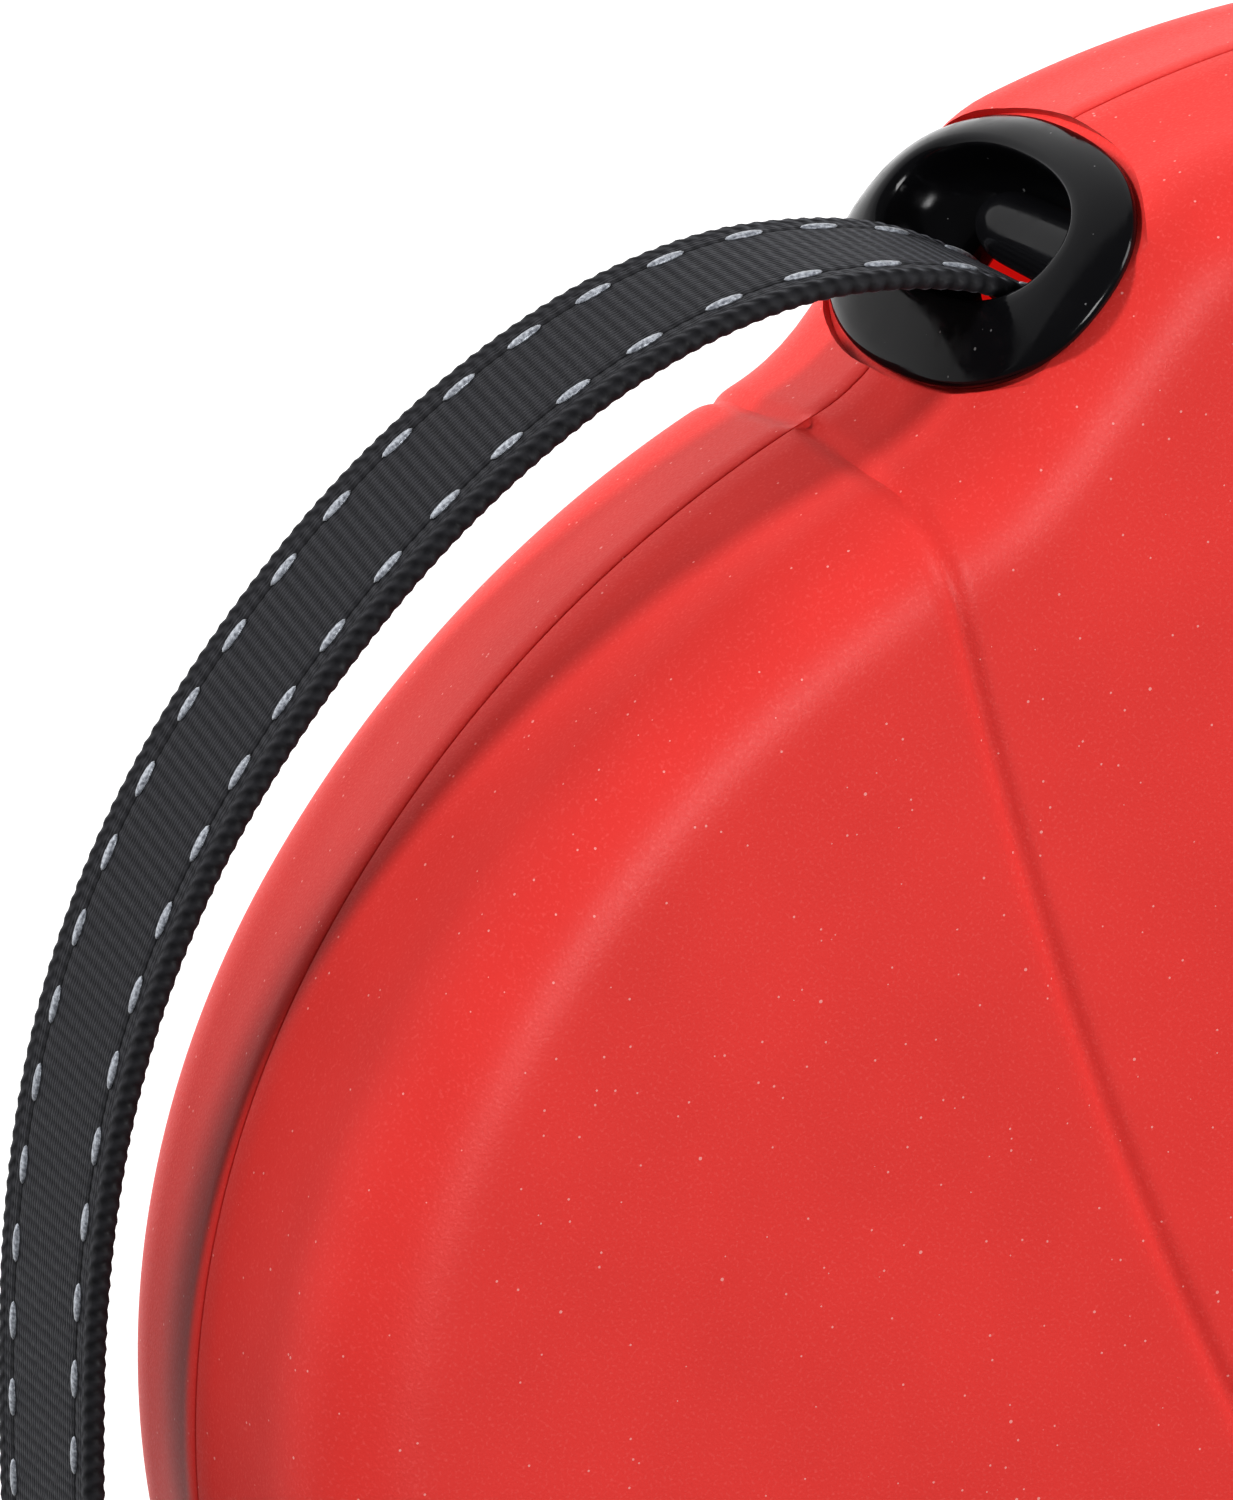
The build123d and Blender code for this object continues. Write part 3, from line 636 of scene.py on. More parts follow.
def soft_touch(name, colour):
    """Red rubbery coat: satin, with a fine grain, faint mottling, and pale lint on it."""
    material = principled(name, colour, 0.5, Specular_IOR_Level=0.22, Sheen_Weight=0.04,
                          Sheen_Roughness=0.4, Sheen_Tint=(1, 0.55, 0.5, 1))
    tree = material.node_tree
    place = object_coordinates(tree)
    mottle = remap(tree, value_noise(tree, place, 90.0, 3.0), 0.3, 0.7, 0.0, 1.0)
    base = mix_colour(tree, mottle, tuple(c * 0.96 for c in colour),
                      tuple(min(1.0, c * 1.03) for c in colour))
    flecks = remap(tree, value_noise(tree, place, 4600.0, 1.0), 0.55, 0.8, 0, 0.2)
    flecked = mix_colour(tree, flecks, base, (0.95, 0.22, 0.2))
    lint = dusty(tree, place, 0.06)
    grain = value_noise(tree, place, 5200.0, 2.0)
    grained = bump(tree, grain, 0.3, 0.00007)
    linted = mix_colour(tree, remap(tree, lint, 0, 1, 0, 0.45), flecked, (0.95, 0.62, 0.58))
    feed(tree, Base_Color=linted, Roughness=remap(tree, grain, 0.3, 0.7, 0.4, 0.5),
         Normal=bump(tree, lint, 0.4, 0.00008, grained))
    return material


casing_red = soft_touch("soft_touch_red", (0.74, 0.054, 0.047))
# The casing's inside faces glow faintly red: a painted glow that stands in for light reaching into the
# nozzle's throat
casing_inside_glow = principled("red_inside_painted_glow", (0.7, 0.02, 0.018), 0.45,
                           Emission_Color=(0.9, 0.02, 0.015, 1), Emission_Strength=0.3)
right_shell = build_shell("right_casing", True, casing_red, casing_inside_glow)
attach(right_shell, "casing")
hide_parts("right_shell")
left_shell = build_shell("left_casing", False, casing_red, casing_inside_glow)
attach(left_shell, "casing")
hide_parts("left_shell")

# ---------------------------------------------------------------- Nozzle
# A polished black moulding caught between the two halves. Its oval flange rolls into a bell mouth,
# and a short round peg stands across the throat to keep the tape on edge.
# Each ring: width along the seam's axis, height, centre's height, and place along X
NOZZLE_RINGS = [
    (29.4, 17.2, 46.5, -49.5), (30.1, 17.9, 46.5, -49.6), (30.4, 18.2, 46.5, -49.9),
    (30.3, 18.1, 46.5, -50.2), (29.8, 17.6, 46.5, -50.45), (28.6, 16.5, 46.65, -50.85),
    (26.9, 15.0, 46.85, -51.25), (24.9, 13.3, 47.1, -51.6), (23.1, 11.8, 47.3, -51.83),
    (21.9, 10.8, 47.42, -51.9), (21.2, 10.3, 47.5, -51.8), (20.8, 10.0, 47.55, -51.55),
    (20.6, 9.8, 47.6, -51.2), (20.5, 9.7, 47.7, -50.4), (20.3, 9.6, 47.8, -49.6),
    (19.7, 9.4, 47.85, -48.8), (18.6, 9.0, 47.9, -48.1), (17.0, 8.5, 47.9, -47.5),
    (15.6, 8.0, 47.9, -47.1), (14.8, 7.6, 47.9, -46.4), (14.6, 7.5, 47.9, -45.6),
    (14.8, 7.6, 47.9, -44.8), (15.6, 8.0, 47.9, -44.4), (18.0, 9.0, 47.6, -44.2),
    (23.8, 12.0, 46.5, -44.2), (24.8, 12.8, 46.4, -44.6), (25.0, 13.0, 46.4, -45.2),
    (25.0, 13.0, 46.4, -49.5),
]


def gloss_black(name):
    """Polished black plastic with moulding ripple, hairline scuffs and a few specks."""
    black = (0.006, 0.006, 0.007)
    material = principled(name, black, 0.12, Specular_IOR_Level=0.26)
    tree = material.node_tree
    place = object_coordinates(tree)
    lint = remap(tree, dusty(tree, place, 0.03), 0, 1, 0, 0.35)
    feed(tree, Base_Color=mix_colour(tree, lint, black, (0.4, 0.4, 0.4)),
         Roughness=remap(tree, value_noise(tree, place, 700.0, 6.0), 0.4, 0.75, 0.1, 0.28),
         Normal=bump(tree, value_noise(tree, place, 160.0, 1.0), 0.25, 0.0002))
    return material


nozzle_black = gloss_black("polished_black")
NOZZLE_SIDES = 96
nozzle_verts, nozzle_faces = loft(
    [oval(w, h, y, x, NOZZLE_SIDES) for w, h, y, x in NOZZLE_RINGS], caps=False)
last = len(nozzle_verts) - NOZZLE_SIDES
for i in range(NOZZLE_SIDES):
    j = (i + 1) % NOZZLE_SIDES
    nozzle_faces.append([last + i, last + j, j, i])
nozzle = add_mesh("tape_nozzle", nozzle_verts, nozzle_faces, nozzle_black)
recalculated(nozzle)
smooth(nozzle, 50)
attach(nozzle, "casing")
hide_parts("nozzle")

PEG_R = 2.3
PEG_AT = (-47.2, 49.3)
PEG_LOW, PEG_HIGH = 11.0, 28.6
peg_profile = round_end(PEG_LOW, PEG_R, 8, 1.8) + [(PEG_R + 0.25, PEG_HIGH)]
peg = add_mesh("guide_peg", *turned(peg_profile, PEG_AT), nozzle_black)
recalculated(peg)
smooth(peg, 50)
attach(peg, "casing")
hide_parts("guide_bar")

# ---------------------------------------------------------------- Tape
# A woven polyester tape, fifteen millimetres wide, ribbed across like grosgrain, with a braided
# selvedge and two rows of grey reflective yarn. It leaves on edge and lies down before the stopper.
TAPE_WIDTH = 15.0
TAPE_HALF = 0.5
SELVEDGE = 0.62
TWIST = (0.56, 0.93)
RIB_PITCH = 0.85
BRAID_PITCH = 1.05
RING_STEP = 0.26
STITCH_PITCH = 5.0
STITCH_ROW = 4.95        # from the tape's middle line to each row
tape_route = [
    (-46.0, 46.2, 17.5), (-50.5, 45.3, 17.5), (-56.2, 42.0, 17.4), (-62.2, 36.2, 17.0),
    (-66.8, 26.9, 16.0), (-69.0, 14.6, 14.2), (-68.5, 1.6, 12.2), (-66.0, -11.2, 10.3),
    (-61.2, -23.0, 8.8), (-54.2, -33.9, 7.9), (-45.4, -44.3, 7.6), (-35.5, -54.8, 7.6),
    (-23.6, -65.4, 7.5), (-10.4, -74.8, 6.9), (3.0, -82.2, 5.8), (15.0, -87.4, 4.8),
    (25.0, -90.0, 4.5), (34.0, -90.0, 4.5),
]


def route_spline(points):
    """Points read from the smooth line of a route, in metres."""
    data = bpy.data.curves.new("route", "CURVE")
    data.dimensions = "3D"
    data.resolution_u = 40
    spline = data.splines.new("NURBS")
    spline.points.add(len(points) - 1)
    for point, place in zip(spline.points, points):
        point.co = (*[c * MM for c in place], 1)
    spline.order_u = 3
    spline.use_endpoint_u = True
    holder = shown("route", data)
    mesh = evaluated_mesh(holder)
    line = [v.co.copy() for v in mesh.vertices]
    bpy.data.objects.remove(holder)
    bpy.data.meshes.remove(mesh)
    return line


def even_points(line, step):
    """The same line with points an even step apart."""
    lengths = [0.0]
    for a, b in zip(line, line[1:]):
        lengths.append(lengths[-1] + (b - a).length)
    count = max(2, round(lengths[-1] / step))
    even, k = [], 0
    for i in range(count + 1):
        want = lengths[-1] * i / count
        while k < len(lengths) - 2 and lengths[k + 1] < want:
            k += 1
        span = lengths[k + 1] - lengths[k]
        share = (want - lengths[k]) / span if span else 0
        even.append(line[k].lerp(line[k + 1], share))
    return even, lengths[-1]


def tape_frames(points):
    """For each point: its place, and the tape's thin and wide directions there."""
    frames = []
    count = len(points)
    for i, place in enumerate(points):
        ahead = points[min(i + 2, count - 1)] - points[max(i - 2, 0)]
        heading = ahead.normalized()
        side = Vector((-heading.y, heading.x, 0)).normalized()
        share = min(max((i / (count - 1) - TWIST[0]) / (TWIST[1] - TWIST[0]), 0), 1)
        lean = eased(share) * math.pi / 2
        thin = (side * math.cos(lean) + Vector((0, 0, 1)) * math.sin(lean)).normalized()
        wide = heading.cross(thin).normalized()
        frames.append((place, heading, thin, wide))
    return frames


ACROSS = [-7.5, -7.36, -7.1, -6.75, -6.4, -6.1, -5.8, -5.4, -5.15, -4.95, -4.7, -4.3, -3.4, -2.3,
          -1.1]
ACROSS = ACROSS + [0.0] + [-w for w in reversed(ACROSS)]


def tape_half_thickness(across):
    """Half the tape's thickness at a place across it: rounded selvedges and two sewn grooves."""
    edge = TAPE_WIDTH / 2 - abs(across)
    if edge < 1.4:
        swell = math.sqrt(max(1 - ((0.7 - edge) / 0.7) ** 2, 0)) if edge < 0.7 else 1
        ease = 1 if edge < 0.9 else 1 - (edge - 0.9) / 0.5
        return 0.03 + (TAPE_HALF + (SELVEDGE - TAPE_HALF) * max(ease, 0) - 0.03) * swell
    return TAPE_HALF - 0.07 * math.exp(-(((abs(across) - STITCH_ROW) / 0.3) ** 2))


def tape_mesh(name, frames, step, material, start=0.0):
    """The tape as one closed mesh with its own map: metres along it, and metres across it."""
    loop = [(w, 1) for w in ACROSS] + [(w, -1) for w in reversed(ACROSS[1:-1])]
    verts, uvs = [], []
    for row, (place, _, thin, wide) in enumerate(frames):
        along = start + row * step
        for w, side in loop:
            half = tape_half_thickness(w)
            edge = max(0.0, 1 - (TAPE_WIDTH / 2 - abs(w)) / 1.2)
            turn = 2 * math.pi * (along / BRAID_PITCH + 0.3 * side)
            braid = math.sin(turn) * 0.07 * edge
            out = w + math.copysign(1, w) * math.cos(turn) * 0.08 * edge * edge
            rib = math.sin(2 * math.pi * along / RIB_PITCH) * 0.018 * (1 - edge)
            verts.append(place + (thin * side * (half + braid + rib) + wide * out) * MM)
            uvs.append((along * MM, w * MM))
    count = len(loop)
    faces = []
    for row in range(len(frames) - 1):
        for i in range(count):
            j = (i + 1) % count
            faces.append([row * count + i, (row + 1) * count + i,
                          (row + 1) * count + j, row * count + j])
    faces.append(list(range(count)))
    faces.append([(len(frames) - 1) * count + i for i in reversed(range(count))])
    piece = add_mesh(name, verts, faces, material, 1.0)
    layer = piece.data.uv_layers.new(name="tape_map")
    for polygon in piece.data.polygons:
        for index, vertex in zip(polygon.loop_indices, polygon.vertices):
            layer.data[index].uv = uvs[vertex]
    recalculated(piece, merge=False)
    smooth(piece, 60)
    return piece


def wave(tree, value, pitch):
    """A smooth 0 to 1 wave of a value in metres, with the given pitch in millimetres."""
    turn = math_node(tree, "MULTIPLY", value, 2 * math.pi / (pitch * MM))
    return remap(tree, math_node(tree, "SINE", turn), -1, 1, 0, 1)


def woven_black(name):
    """Black polyester yarn: ribs across, warp ends along, loose fibres, on the tape's own map, with
    painted shade in the weave's hollows.
    """
    dark, lighter_crest = (0.009, 0.009, 0.0105), (0.032, 0.032, 0.036)
    material = principled(name, dark, 0.62, Sheen_Weight=0.1, Sheen_Roughness=0.35,
                          Specular_IOR_Level=0.2, Sheen_Tint=(0.7, 0.72, 0.8, 1))
    tree = material.node_tree

    def sums(operation, first, second=0.0):
        return math_node(tree, operation, first, second)

    place = add_node(tree, "ShaderNodeUVMap", uv_map="tape_map").outputs["UV"]
    parts = add_node(tree, "ShaderNodeSeparateXYZ", {"Vector": place})
    along, across = parts.outputs["X"], parts.outputs["Y"]
    fibres = value_noise(tree, place, 2600.0, 3.0)
    slack = sums("MULTIPLY", fibres, 0.00012)
    ribs = wave(tree, sums("ADD", along, slack), RIB_PITCH)
    warp = wave(tree, sums("ADD", across, slack), 0.34)
    braid = wave(tree, sums("ADD", along, sums("MULTIPLY", across, 0.9)), BRAID_PITCH)
    side = sums("ABSOLUTE", across)
    at_edge = remap(tree, side, 0.0059, 0.0065, 0, 1)
    weave = sums("ADD", ribs, sums("MULTIPLY", warp, 0.35))
    cloth = sums("ADD", sums("MULTIPLY", weave, sums("SUBTRACT", 1.0, at_edge)),
                 sums("MULTIPLY", braid, at_edge))
    off_row = sums("ABSOLUTE", sums("SUBTRACT", side, STITCH_ROW * MM))
    groove = remap(tree, off_row, 0.0, 0.0003, 1, 0)
    high = sums("SUBTRACT", cloth, sums("MULTIPLY", groove, 0.8))
    hollow_shade_and_fibre_tone = remap(tree, sums("ADD", high, fibres), 0.3, 2.0, 0, 1)
    woven = bump(tree, high, 0.55, 0.00016)
    # The base colour follows the weave's height. It is darker in the valleys between ribs and in the
    # sewn grooves, a painted shade in the hollows, and the fibres add their own random tone
    feed(tree, Base_Color=mix_colour(tree, hollow_shade_and_fibre_tone, dark, lighter_crest),
         Roughness=remap(tree, fibres, 0.3, 0.7, 0.5, 0.75),
         Normal=bump(tree, fibres, 0.5, 0.00008, woven))
    return material


tape_black = woven_black("woven_black_tape")
tape_line = route_spline(tape_route)
tape_points, tape_length = even_points(tape_line, RING_STEP * MM)
ring_step = tape_length / (len(tape_points) - 1) / MM
frames = tape_frames(tape_points)
tape = tape_mesh("free_tape", frames, ring_step, tape_black)
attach(tape, "casing")
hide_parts("tape_free")

LEAD_STEP = 0.9
lead_from, lead_to = Vector((1.2, 47.4, 17.5)) * MM, Vector(tape_route[0]) * MM
lead_points, _ = even_points([lead_from, lead_to], LEAD_STEP * MM)
lead_side = (lead_to - lead_from).normalized()
lead_thin = Vector((-lead_side.y, lead_side.x, 0))
lead_frames = [(p, lead_side, lead_thin, Vector((0, 0, 1))) for p in lead_points]
tape_lead = tape_mesh("tape_lead_in", lead_frames, LEAD_STEP, tape_black)
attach(tape_lead, "casing")
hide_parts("tape_lead")


def copies_tree(name, material, form, sizes=()):
    """Geometry Nodes: a form on every point, turned by the point's own turn."""
    tree = bpy.data.node_groups.new(name, "GeometryNodeTree")
    tree.interface.new_socket("Geometry", in_out="INPUT", socket_type="NodeSocketGeometry")
    for label in sizes:
        tree.interface.new_socket(label, in_out="INPUT", socket_type="NodeSocketFloat")
    tree.interface.new_socket("Geometry", in_out="OUTPUT", socket_type="NodeSocketGeometry")
    start = tree.nodes.new("NodeGroupInput")
    turn = add_node(tree, "GeometryNodeInputNamedAttribute", {"Name": "turn"}, data_type="QUATERNION")
    place = add_node(tree, "GeometryNodeInstanceOnPoints", {
        "Points": start.outputs["Geometry"], "Instance": form(tree, start.outputs),
        "Rotation": turn.outputs["Attribute"]})
    real = add_node(tree, "GeometryNodeRealizeInstances", {"Geometry": place.outputs["Instances"]})
    painted = add_node(tree, "GeometryNodeSetMaterial",
                       {"Geometry": real.outputs["Geometry"], "Material": material})
    add_node(tree, "NodeGroupOutput", {"Geometry": painted.outputs["Geometry"]})
    return tree


def stitch_form(tree, sizes):
    """An almond-shaped stitch with the tree's own length, width and height."""
    grain = add_node(tree, "GeometryNodeMeshUVSphere", {"Segments": 8, "Rings": 6, "Radius": 0.5})
    size = add_node(tree, "ShaderNodeCombineXYZ",
                    {"X": sizes["Width"], "Y": sizes["Height"], "Z": sizes["Length"]})
    shaped = add_node(tree, "GeometryNodeTransform",
                      {"Geometry": grain.outputs["Mesh"], "Scale": size.outputs["Vector"]})
    return add_node(tree, "GeometryNodeSetShadeSmooth",
                    {"Geometry": shaped.outputs["Geometry"]}).outputs["Geometry"]


def grown(name, places, tree, sizes):
    """A plain mesh of what a tree grows on points. Each place is a point and its turn."""
    mesh = bpy.data.meshes.new(name + "_points")
    mesh.from_pydata([p for p, _ in places], [], [])
    turns = mesh.attributes.new("turn", "QUATERNION", "POINT")
    for slot, (_, turn) in zip(turns.data, places):
        slot.value = turn
    holder = shown(name + "_points", mesh)
    modifier = holder.modifiers.new("grow", "NODES")
    modifier.node_group = tree
    for item in tree.interface.items_tree:
        if item.in_out == "INPUT" and item.name in sizes:
            modifier[item.identifier] = sizes[item.name]
    result = evaluated_mesh(holder)
    bpy.data.objects.remove(holder)
    return shown(name, result)


def reflective_grey(name):
    """Grey glass-bead yarn, with fine strands along each stitch."""
    material = principled(name, (0.3, 0.32, 0.36), 0.38, Metallic=0.2, Sheen_Weight=0.3)
    tree = material.node_tree
    strands = value_noise(tree, object_coordinates(tree), 4200.0, 3.0)
    feed(tree, Base_Color=mix_colour(tree, remap(tree, strands, 0.35, 0.65, 0, 1),
                                     (0.16, 0.17, 0.2), (0.5, 0.53, 0.58)),
         Normal=bump(tree, strands, 0.5, 0.00008))
    return material


yarn_grey = reflective_grey("reflective_yarn")


def stitch_turn(heading, outward):
    """A turn that lays a stitch's length along the tape and its thin side outwards."""
    side = outward.cross(heading).normalized()
    up = heading.cross(side).normalized()
    return Matrix((side, up, heading)).transposed().to_quaternion()


stitch_places = []
per_stitch = STITCH_PITCH / ring_step
for face in (1, -1):
    for row in (1, -1):
        at = per_stitch * (0.9 if face > 0 else 0.4) + (0.8 if row > 0 else 0.0)
        while at < len(frames) - per_stitch * 0.4:
            place, heading, thin, wide = frames[int(round(at))]
            where = place + (wide * row * STITCH_ROW + thin * face * (TAPE_HALF + 0.02)) * MM
            slant = heading + wide * 0.03 * math.sin(at)
            stitch_places.append((where, stitch_turn(slant.normalized(), thin * face)))
            at += per_stitch
stitch_size = {"Length": 2.5 * MM, "Width": 0.85 * MM, "Height": 0.42 * MM}
stitch_tree = copies_tree("reflective_stitches", yarn_grey, stitch_form, stitch_size)
stitches = grown("tape_stitches", stitch_places, stitch_tree, stitch_size)
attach(stitches, "casing")

# ---------------------------------------------------------------- Housing screws
# Five zinc-plated steel screws with cross recesses hold the halves together. Their heads sit in round
# seats in the right half, and their shanks run up into the left half's bosses.
def steel_wire(name, colour, roughness, scratches=900.0):
    """Bare or plated metal with fine scuffs and slightly uneven gloss."""
    material = principled(name, colour, roughness, Metallic=1.0)
    tree = material.node_tree
    place = object_coordinates(tree)
    scuffs = value_noise(tree, place, scratches, 5.0)
    stain = remap(tree, value_noise(tree, place, 130.0, 3.0), 0.35, 0.7, 0, 1)
    feed(tree, Base_Color=mix_colour(tree, stain, colour, tuple(c * 0.82 for c in colour)),
         Roughness=remap(tree, scuffs, 0.35, 0.7, roughness * 0.7, roughness * 1.9),
         Normal=bump(tree, scuffs, 0.12, 0.00005))
    return material


def copies(name, source, places, material):
    """One mesh of a piece copied to several places, and the piece itself taken away."""
    def form(tree, _):
        return add_node(tree, "GeometryNodeObjectInfo", {"Object": source}).outputs["Geometry"]

    piece = grown(name, places, copies_tree(name + "_tree", material, form), {})
    bpy.data.objects.remove(source)
    return piece


no_turn = Matrix.Identity(3).to_quaternion()
zinc = steel_wire("zinc_plated_steel", (0.52, 0.53, 0.56), 0.3)
screw = add_mesh("screw_form", *turned([
    (2.2, 0.5), (2.55, 0.62), (2.7, 0.9), (2.7, 2.5), (1.45, 2.5), (1.4, 2.9), (1.4, 24.6),
    (0.9, 25.5)]))
recalculated(screw)
for wide, tall in ((0.42, 1.45), (1.45, 0.42)):
    corners = ((-wide, -tall), (wide, -tall), (wide, tall), (-wide, tall))
    recess = loft([[(x * k, y * k, z) for x, y in corners]
                   for k, z in ((1.05, -0.5), (1.0, 0.5), (0.45, 1.9))])
    cut(screw, joined("recess", [recess]))
smooth(screw, 35)
screw_places = [(Vector((x, y, 0)) * MM, no_turn) for x, y in SCREWS]
screws = copies("casing_screws", screw, screw_places, zinc)
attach(screws, "casing")
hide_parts("housing_screws")

# ---------------------------------------------------------------- Grip pad
# A strip of soft black rubber moulded onto the hand hole's outer wall, where the fingers press.
# Shallow grooves cross it for grip.
def finish_node(name, material, angle=35):
    """Gives a frame piece its finish and smooth shading."""
    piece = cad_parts[name]
    piece.data.materials.clear()
    piece.data.materials.append(material)
    for polygon in piece.data.polygons:
        polygon.material_index = 0
    smooth(piece, angle)
    return piece


def moulded(name, colour, roughness, grain, depth, specular=0.4):
    """Moulded plastic or rubber with an eroded grain, faint flow marks and a little lint."""
    material = principled(name, colour, roughness, Specular_IOR_Level=specular)
    tree = material.node_tree
    place = object_coordinates(tree)
    flow = remap(tree, value_noise(tree, place, 60.0, 2.0), 0.3, 0.7, 0, 1)
    base = mix_colour(tree, flow, colour, tuple(min(1.0, c * 1.25 + 0.002) for c in colour))
    lint = remap(tree, dusty(tree, place, 0.02), 0, 1, 0, 0.3)
    fine = value_noise(tree, place, grain, 3.0)
    feed(tree, Base_Color=mix_colour(tree, lint, base, (0.5, 0.5, 0.5)),
         Roughness=remap(tree, fine, 0.3, 0.7, roughness - 0.07, roughness + 0.08),
         Normal=bump(tree, fine, 0.35, depth))
    return material


rubber = moulded("soft_black_rubber", (0.02, 0.02, 0.021), 0.68, 2600.0, 0.0001, 0.25)
rubber_tree = rubber.node_tree
rubber_parts = add_node(rubber_tree, "ShaderNodeSeparateXYZ",
                        {"Vector": object_coordinates(rubber_tree)})
rubber_angle = math_node(rubber_tree, "ARCTAN2", rubber_parts.outputs["Y"], rubber_parts.outputs["X"])
rubber_grooves = wave(rubber_tree, math_node(rubber_tree, "MULTIPLY", rubber_angle, 0.09), 3.2)
rubber_deep = remap(rubber_tree, rubber_grooves, 0.0, 0.35, 0, 1)
rubber_grain = rubber_tree.nodes["Principled BSDF"].inputs["Normal"].links[0].from_socket
feed(rubber_tree, Normal=bump(rubber_tree, rubber_deep, 0.6, 0.0004, rubber_grain))
finish_node("grip_pad", rubber)

# ---------------------------------------------------------------- Axle and thrust washers
# A turned steel axle stands between the two side walls, and a thin steel washer at each end takes
# the reel's rubbing.
turned_steel = steel_wire("turned_steel", (0.6, 0.6, 0.62), 0.25, 1500.0)
finish_node("axle", turned_steel)
finish_node("thrust_washers", turned_steel)

# ---------------------------------------------------------------- Reel
# The drum and its toothed flange are one moulding, and a second flange is screwed over the wound
# tape. Both are a slippery pale plastic.
reel_plastic = moulded("pale_reel_plastic", (0.62, 0.61, 0.58), 0.38, 1400.0, 0.00005)
finish_node("reel", reel_plastic)
finish_node("reel_flange", reel_plastic)
finish_node("reel_screws", zinc)

# ---------------------------------------------------------------- Mainspring
# A long strip of blued spring steel, wound in the drum between the axle and the drum's wall. It pulls
# the tape back in.
blued_steel = steel_wire("blued_spring_steel", (0.2, 0.22, 0.27), 0.28, 1200.0)
finish_node("mainspring", blued_steel)

# ---------------------------------------------------------------- Wound tape
# The tape that stays on the drum, layer on layer. Its sides show the layers' edges as fine rings.
def wound_black(name):
    """The edges of many layers of black tape."""
    material = principled(name, (0.02, 0.02, 0.022), 0.7, Specular_IOR_Level=0.25, Sheen_Weight=0.2)
    tree = material.node_tree
    place = object_coordinates(tree)
    parts = add_node(tree, "ShaderNodeSeparateXYZ", {"Vector": place})
    squares = [math_node(tree, "MULTIPLY", parts.outputs[axis], parts.outputs[axis]) for axis in "XY"]
    reach = math_node(tree, "POWER", math_node(tree, "ADD", *squares), 0.5)
    loose = math_node(tree, "MULTIPLY", value_noise(tree, place, 70.0, 2.0), 0.0006)
    layers = wave(tree, math_node(tree, "ADD", reach, loose), 1.2)
    fuzz = value_noise(tree, place, 2400.0, 3.0)
    feed(tree, Base_Color=mix_colour(tree, layers, (0.008, 0.008, 0.009), (0.04, 0.04, 0.044)),
         Normal=bump(tree, fuzz, 0.4, 0.0001, bump(tree, layers, 0.7, 0.0003)))
    return material


finish_node("tape_coil", wound_black("wound_tape_black"))

# ---------------------------------------------------------------- Brake
# A ribbed black button in the handle presses a slider down onto the reel's teeth. A steel pin joins
# them, a keeper plate guides the slider, and a small coil spring lifts it again.
grained_black = moulded("grained_black_plastic", (0.014, 0.014, 0.015), 0.5, 1900.0, 0.00012)
inner_black = moulded("inner_black_plastic", (0.03, 0.03, 0.032), 0.42, 1300.0, 0.00005)
finish_node("brake_button", grained_black)
finish_node("brake_slider", inner_black)
finish_node("brake_keeper", inner_black)
finish_node("button_pin", turned_steel)
finish_node("brake_spring", blued_steel, 60)


def grip_rib(name, radius, low, high):
    """A round-ended rib that lies along Z, half sunk in the face it grips."""
    profile = round_end(low, radius, 5)
    profile += [(r, low + high - z) for r, z in reversed(profile)]
    piece = add_mesh(name, *turned(profile, count=20))
    recalculated(piece)
    smooth(piece, 60)
    return piece


BUTTON_R = 86.5
BUTTON_RIB_PITCH = 2.3
centre_out = BACK[0][0] * out_dir[0] + BACK[0][1] * out_dir[1]
centre_across = BACK[0][0] * across_dir[0] + BACK[0][1] * across_dir[1]
button_crown = []
for step in range(-4, 5):
    spread = step * BUTTON_RIB_PITCH
    out = centre_out + math.sqrt(BUTTON_R ** 2 - (spread - centre_across) ** 2)
    button_crown.append((Vector((*brake_xy(spread, out - 0.35), 0)) * MM, no_turn))
button_ribs = copies("button_ribs", grip_rib("button_rib_form", 0.6, 12.5, 22.5), button_crown,
                     grained_black)
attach(button_ribs, "brake")

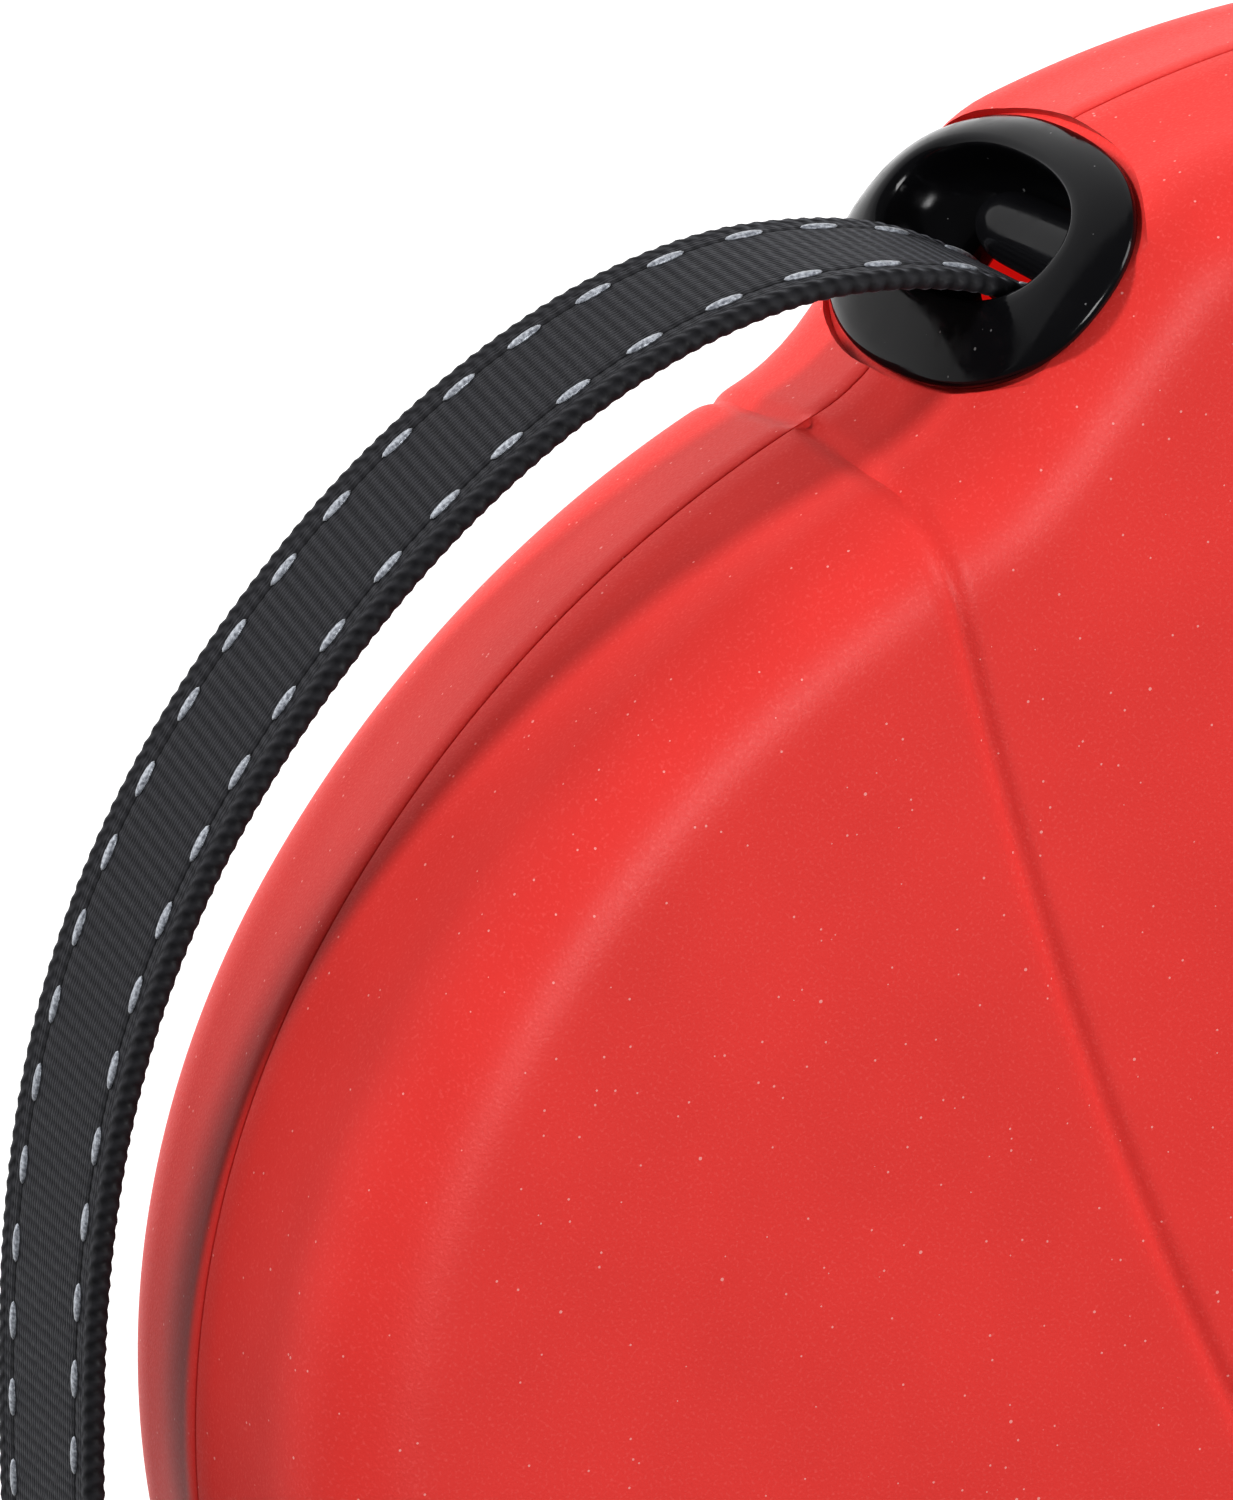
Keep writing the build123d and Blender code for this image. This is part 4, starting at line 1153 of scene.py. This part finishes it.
# ---------------------------------------------------------------- Lock
# A small black thumb slide beside the button. Pushed under the button's foot, it keeps the brake on.
finish_node("lock_slider", grained_black)
lock_places = [(Vector((*brake_xy(24.4 + 1.8 * i, 97.2), 0)) * MM, no_turn) for i in range(5)]
lock_ribs = copies("lock_ribs", grip_rib("lock_rib_form", 0.5, 14.0, 21.0), lock_places,
                   grained_black)
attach(lock_ribs, "lock")

# ---------------------------------------------------------------- Stopper and tape loop
# A black rubber block clamped on the tape stops it at the nozzle. Past it, the tape is folded round
# the swivel's bar and sewn back on itself.
stopper_black = moulded("stopper_black_rubber", (0.018, 0.018, 0.019), 0.6, 2200.0, 0.0001, 0.3)
finish_node("end_stopper", stopper_black, 40)
LOOP_AT = (56.0, -90.0, 4.5)
LOOP_R = 2.36
LOOP_FLAT = 0.62         # half the gap between the two layers where they are sewn
loop_line = []
for i in range(9):
    share = i / 8
    low = LOOP_AT[2] - LOOP_FLAT - (LOOP_R - LOOP_FLAT) * eased(share)
    loop_line.append((49.6 + 5.6 * share, low))
for i in range(13):
    turn = math.radians(-80 + 160 * i / 12)
    loop_line.append((LOOP_AT[0] + LOOP_R * math.cos(turn), LOOP_AT[2] + LOOP_R * math.sin(turn)))
loop_line += [(x, 2 * LOOP_AT[2] - z) for x, z in reversed(loop_line[:9])]
loop_points, _ = even_points([Vector((x, LOOP_AT[1], z)) * MM for x, z in loop_line], RING_STEP * MM)
across_loop = Vector((0, 1, 0))
loop_frames = []
for i, place in enumerate(loop_points):
    ahead = loop_points[min(i + 1, len(loop_points) - 1)] - loop_points[max(i - 1, 0)]
    ahead.normalize()
    loop_frames.append((place, ahead, across_loop.cross(ahead), across_loop))
loop_piece = tape_mesh("sewn_loop", loop_frames, RING_STEP, tape_black)
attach(loop_piece, "casing")
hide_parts("tape_loop")

# ---------------------------------------------------------------- Swivel and snap
# The nickel-plated trigger snap: a bent-wire eye that turns in the hook's barrel, a hook cast with its
# barrel, and a sprung bolt with a thumb knob that closes the bow.
nickel = steel_wire("nickel_plate", (0.66, 0.65, 0.63), 0.14, 700.0)
finish_node("swivel_eye", nickel, 50)
finish_node("hook_body", nickel, 40)
finish_node("snap_bolt", nickel, 40)
finish_node("bolt_spring", blued_steel, 60)
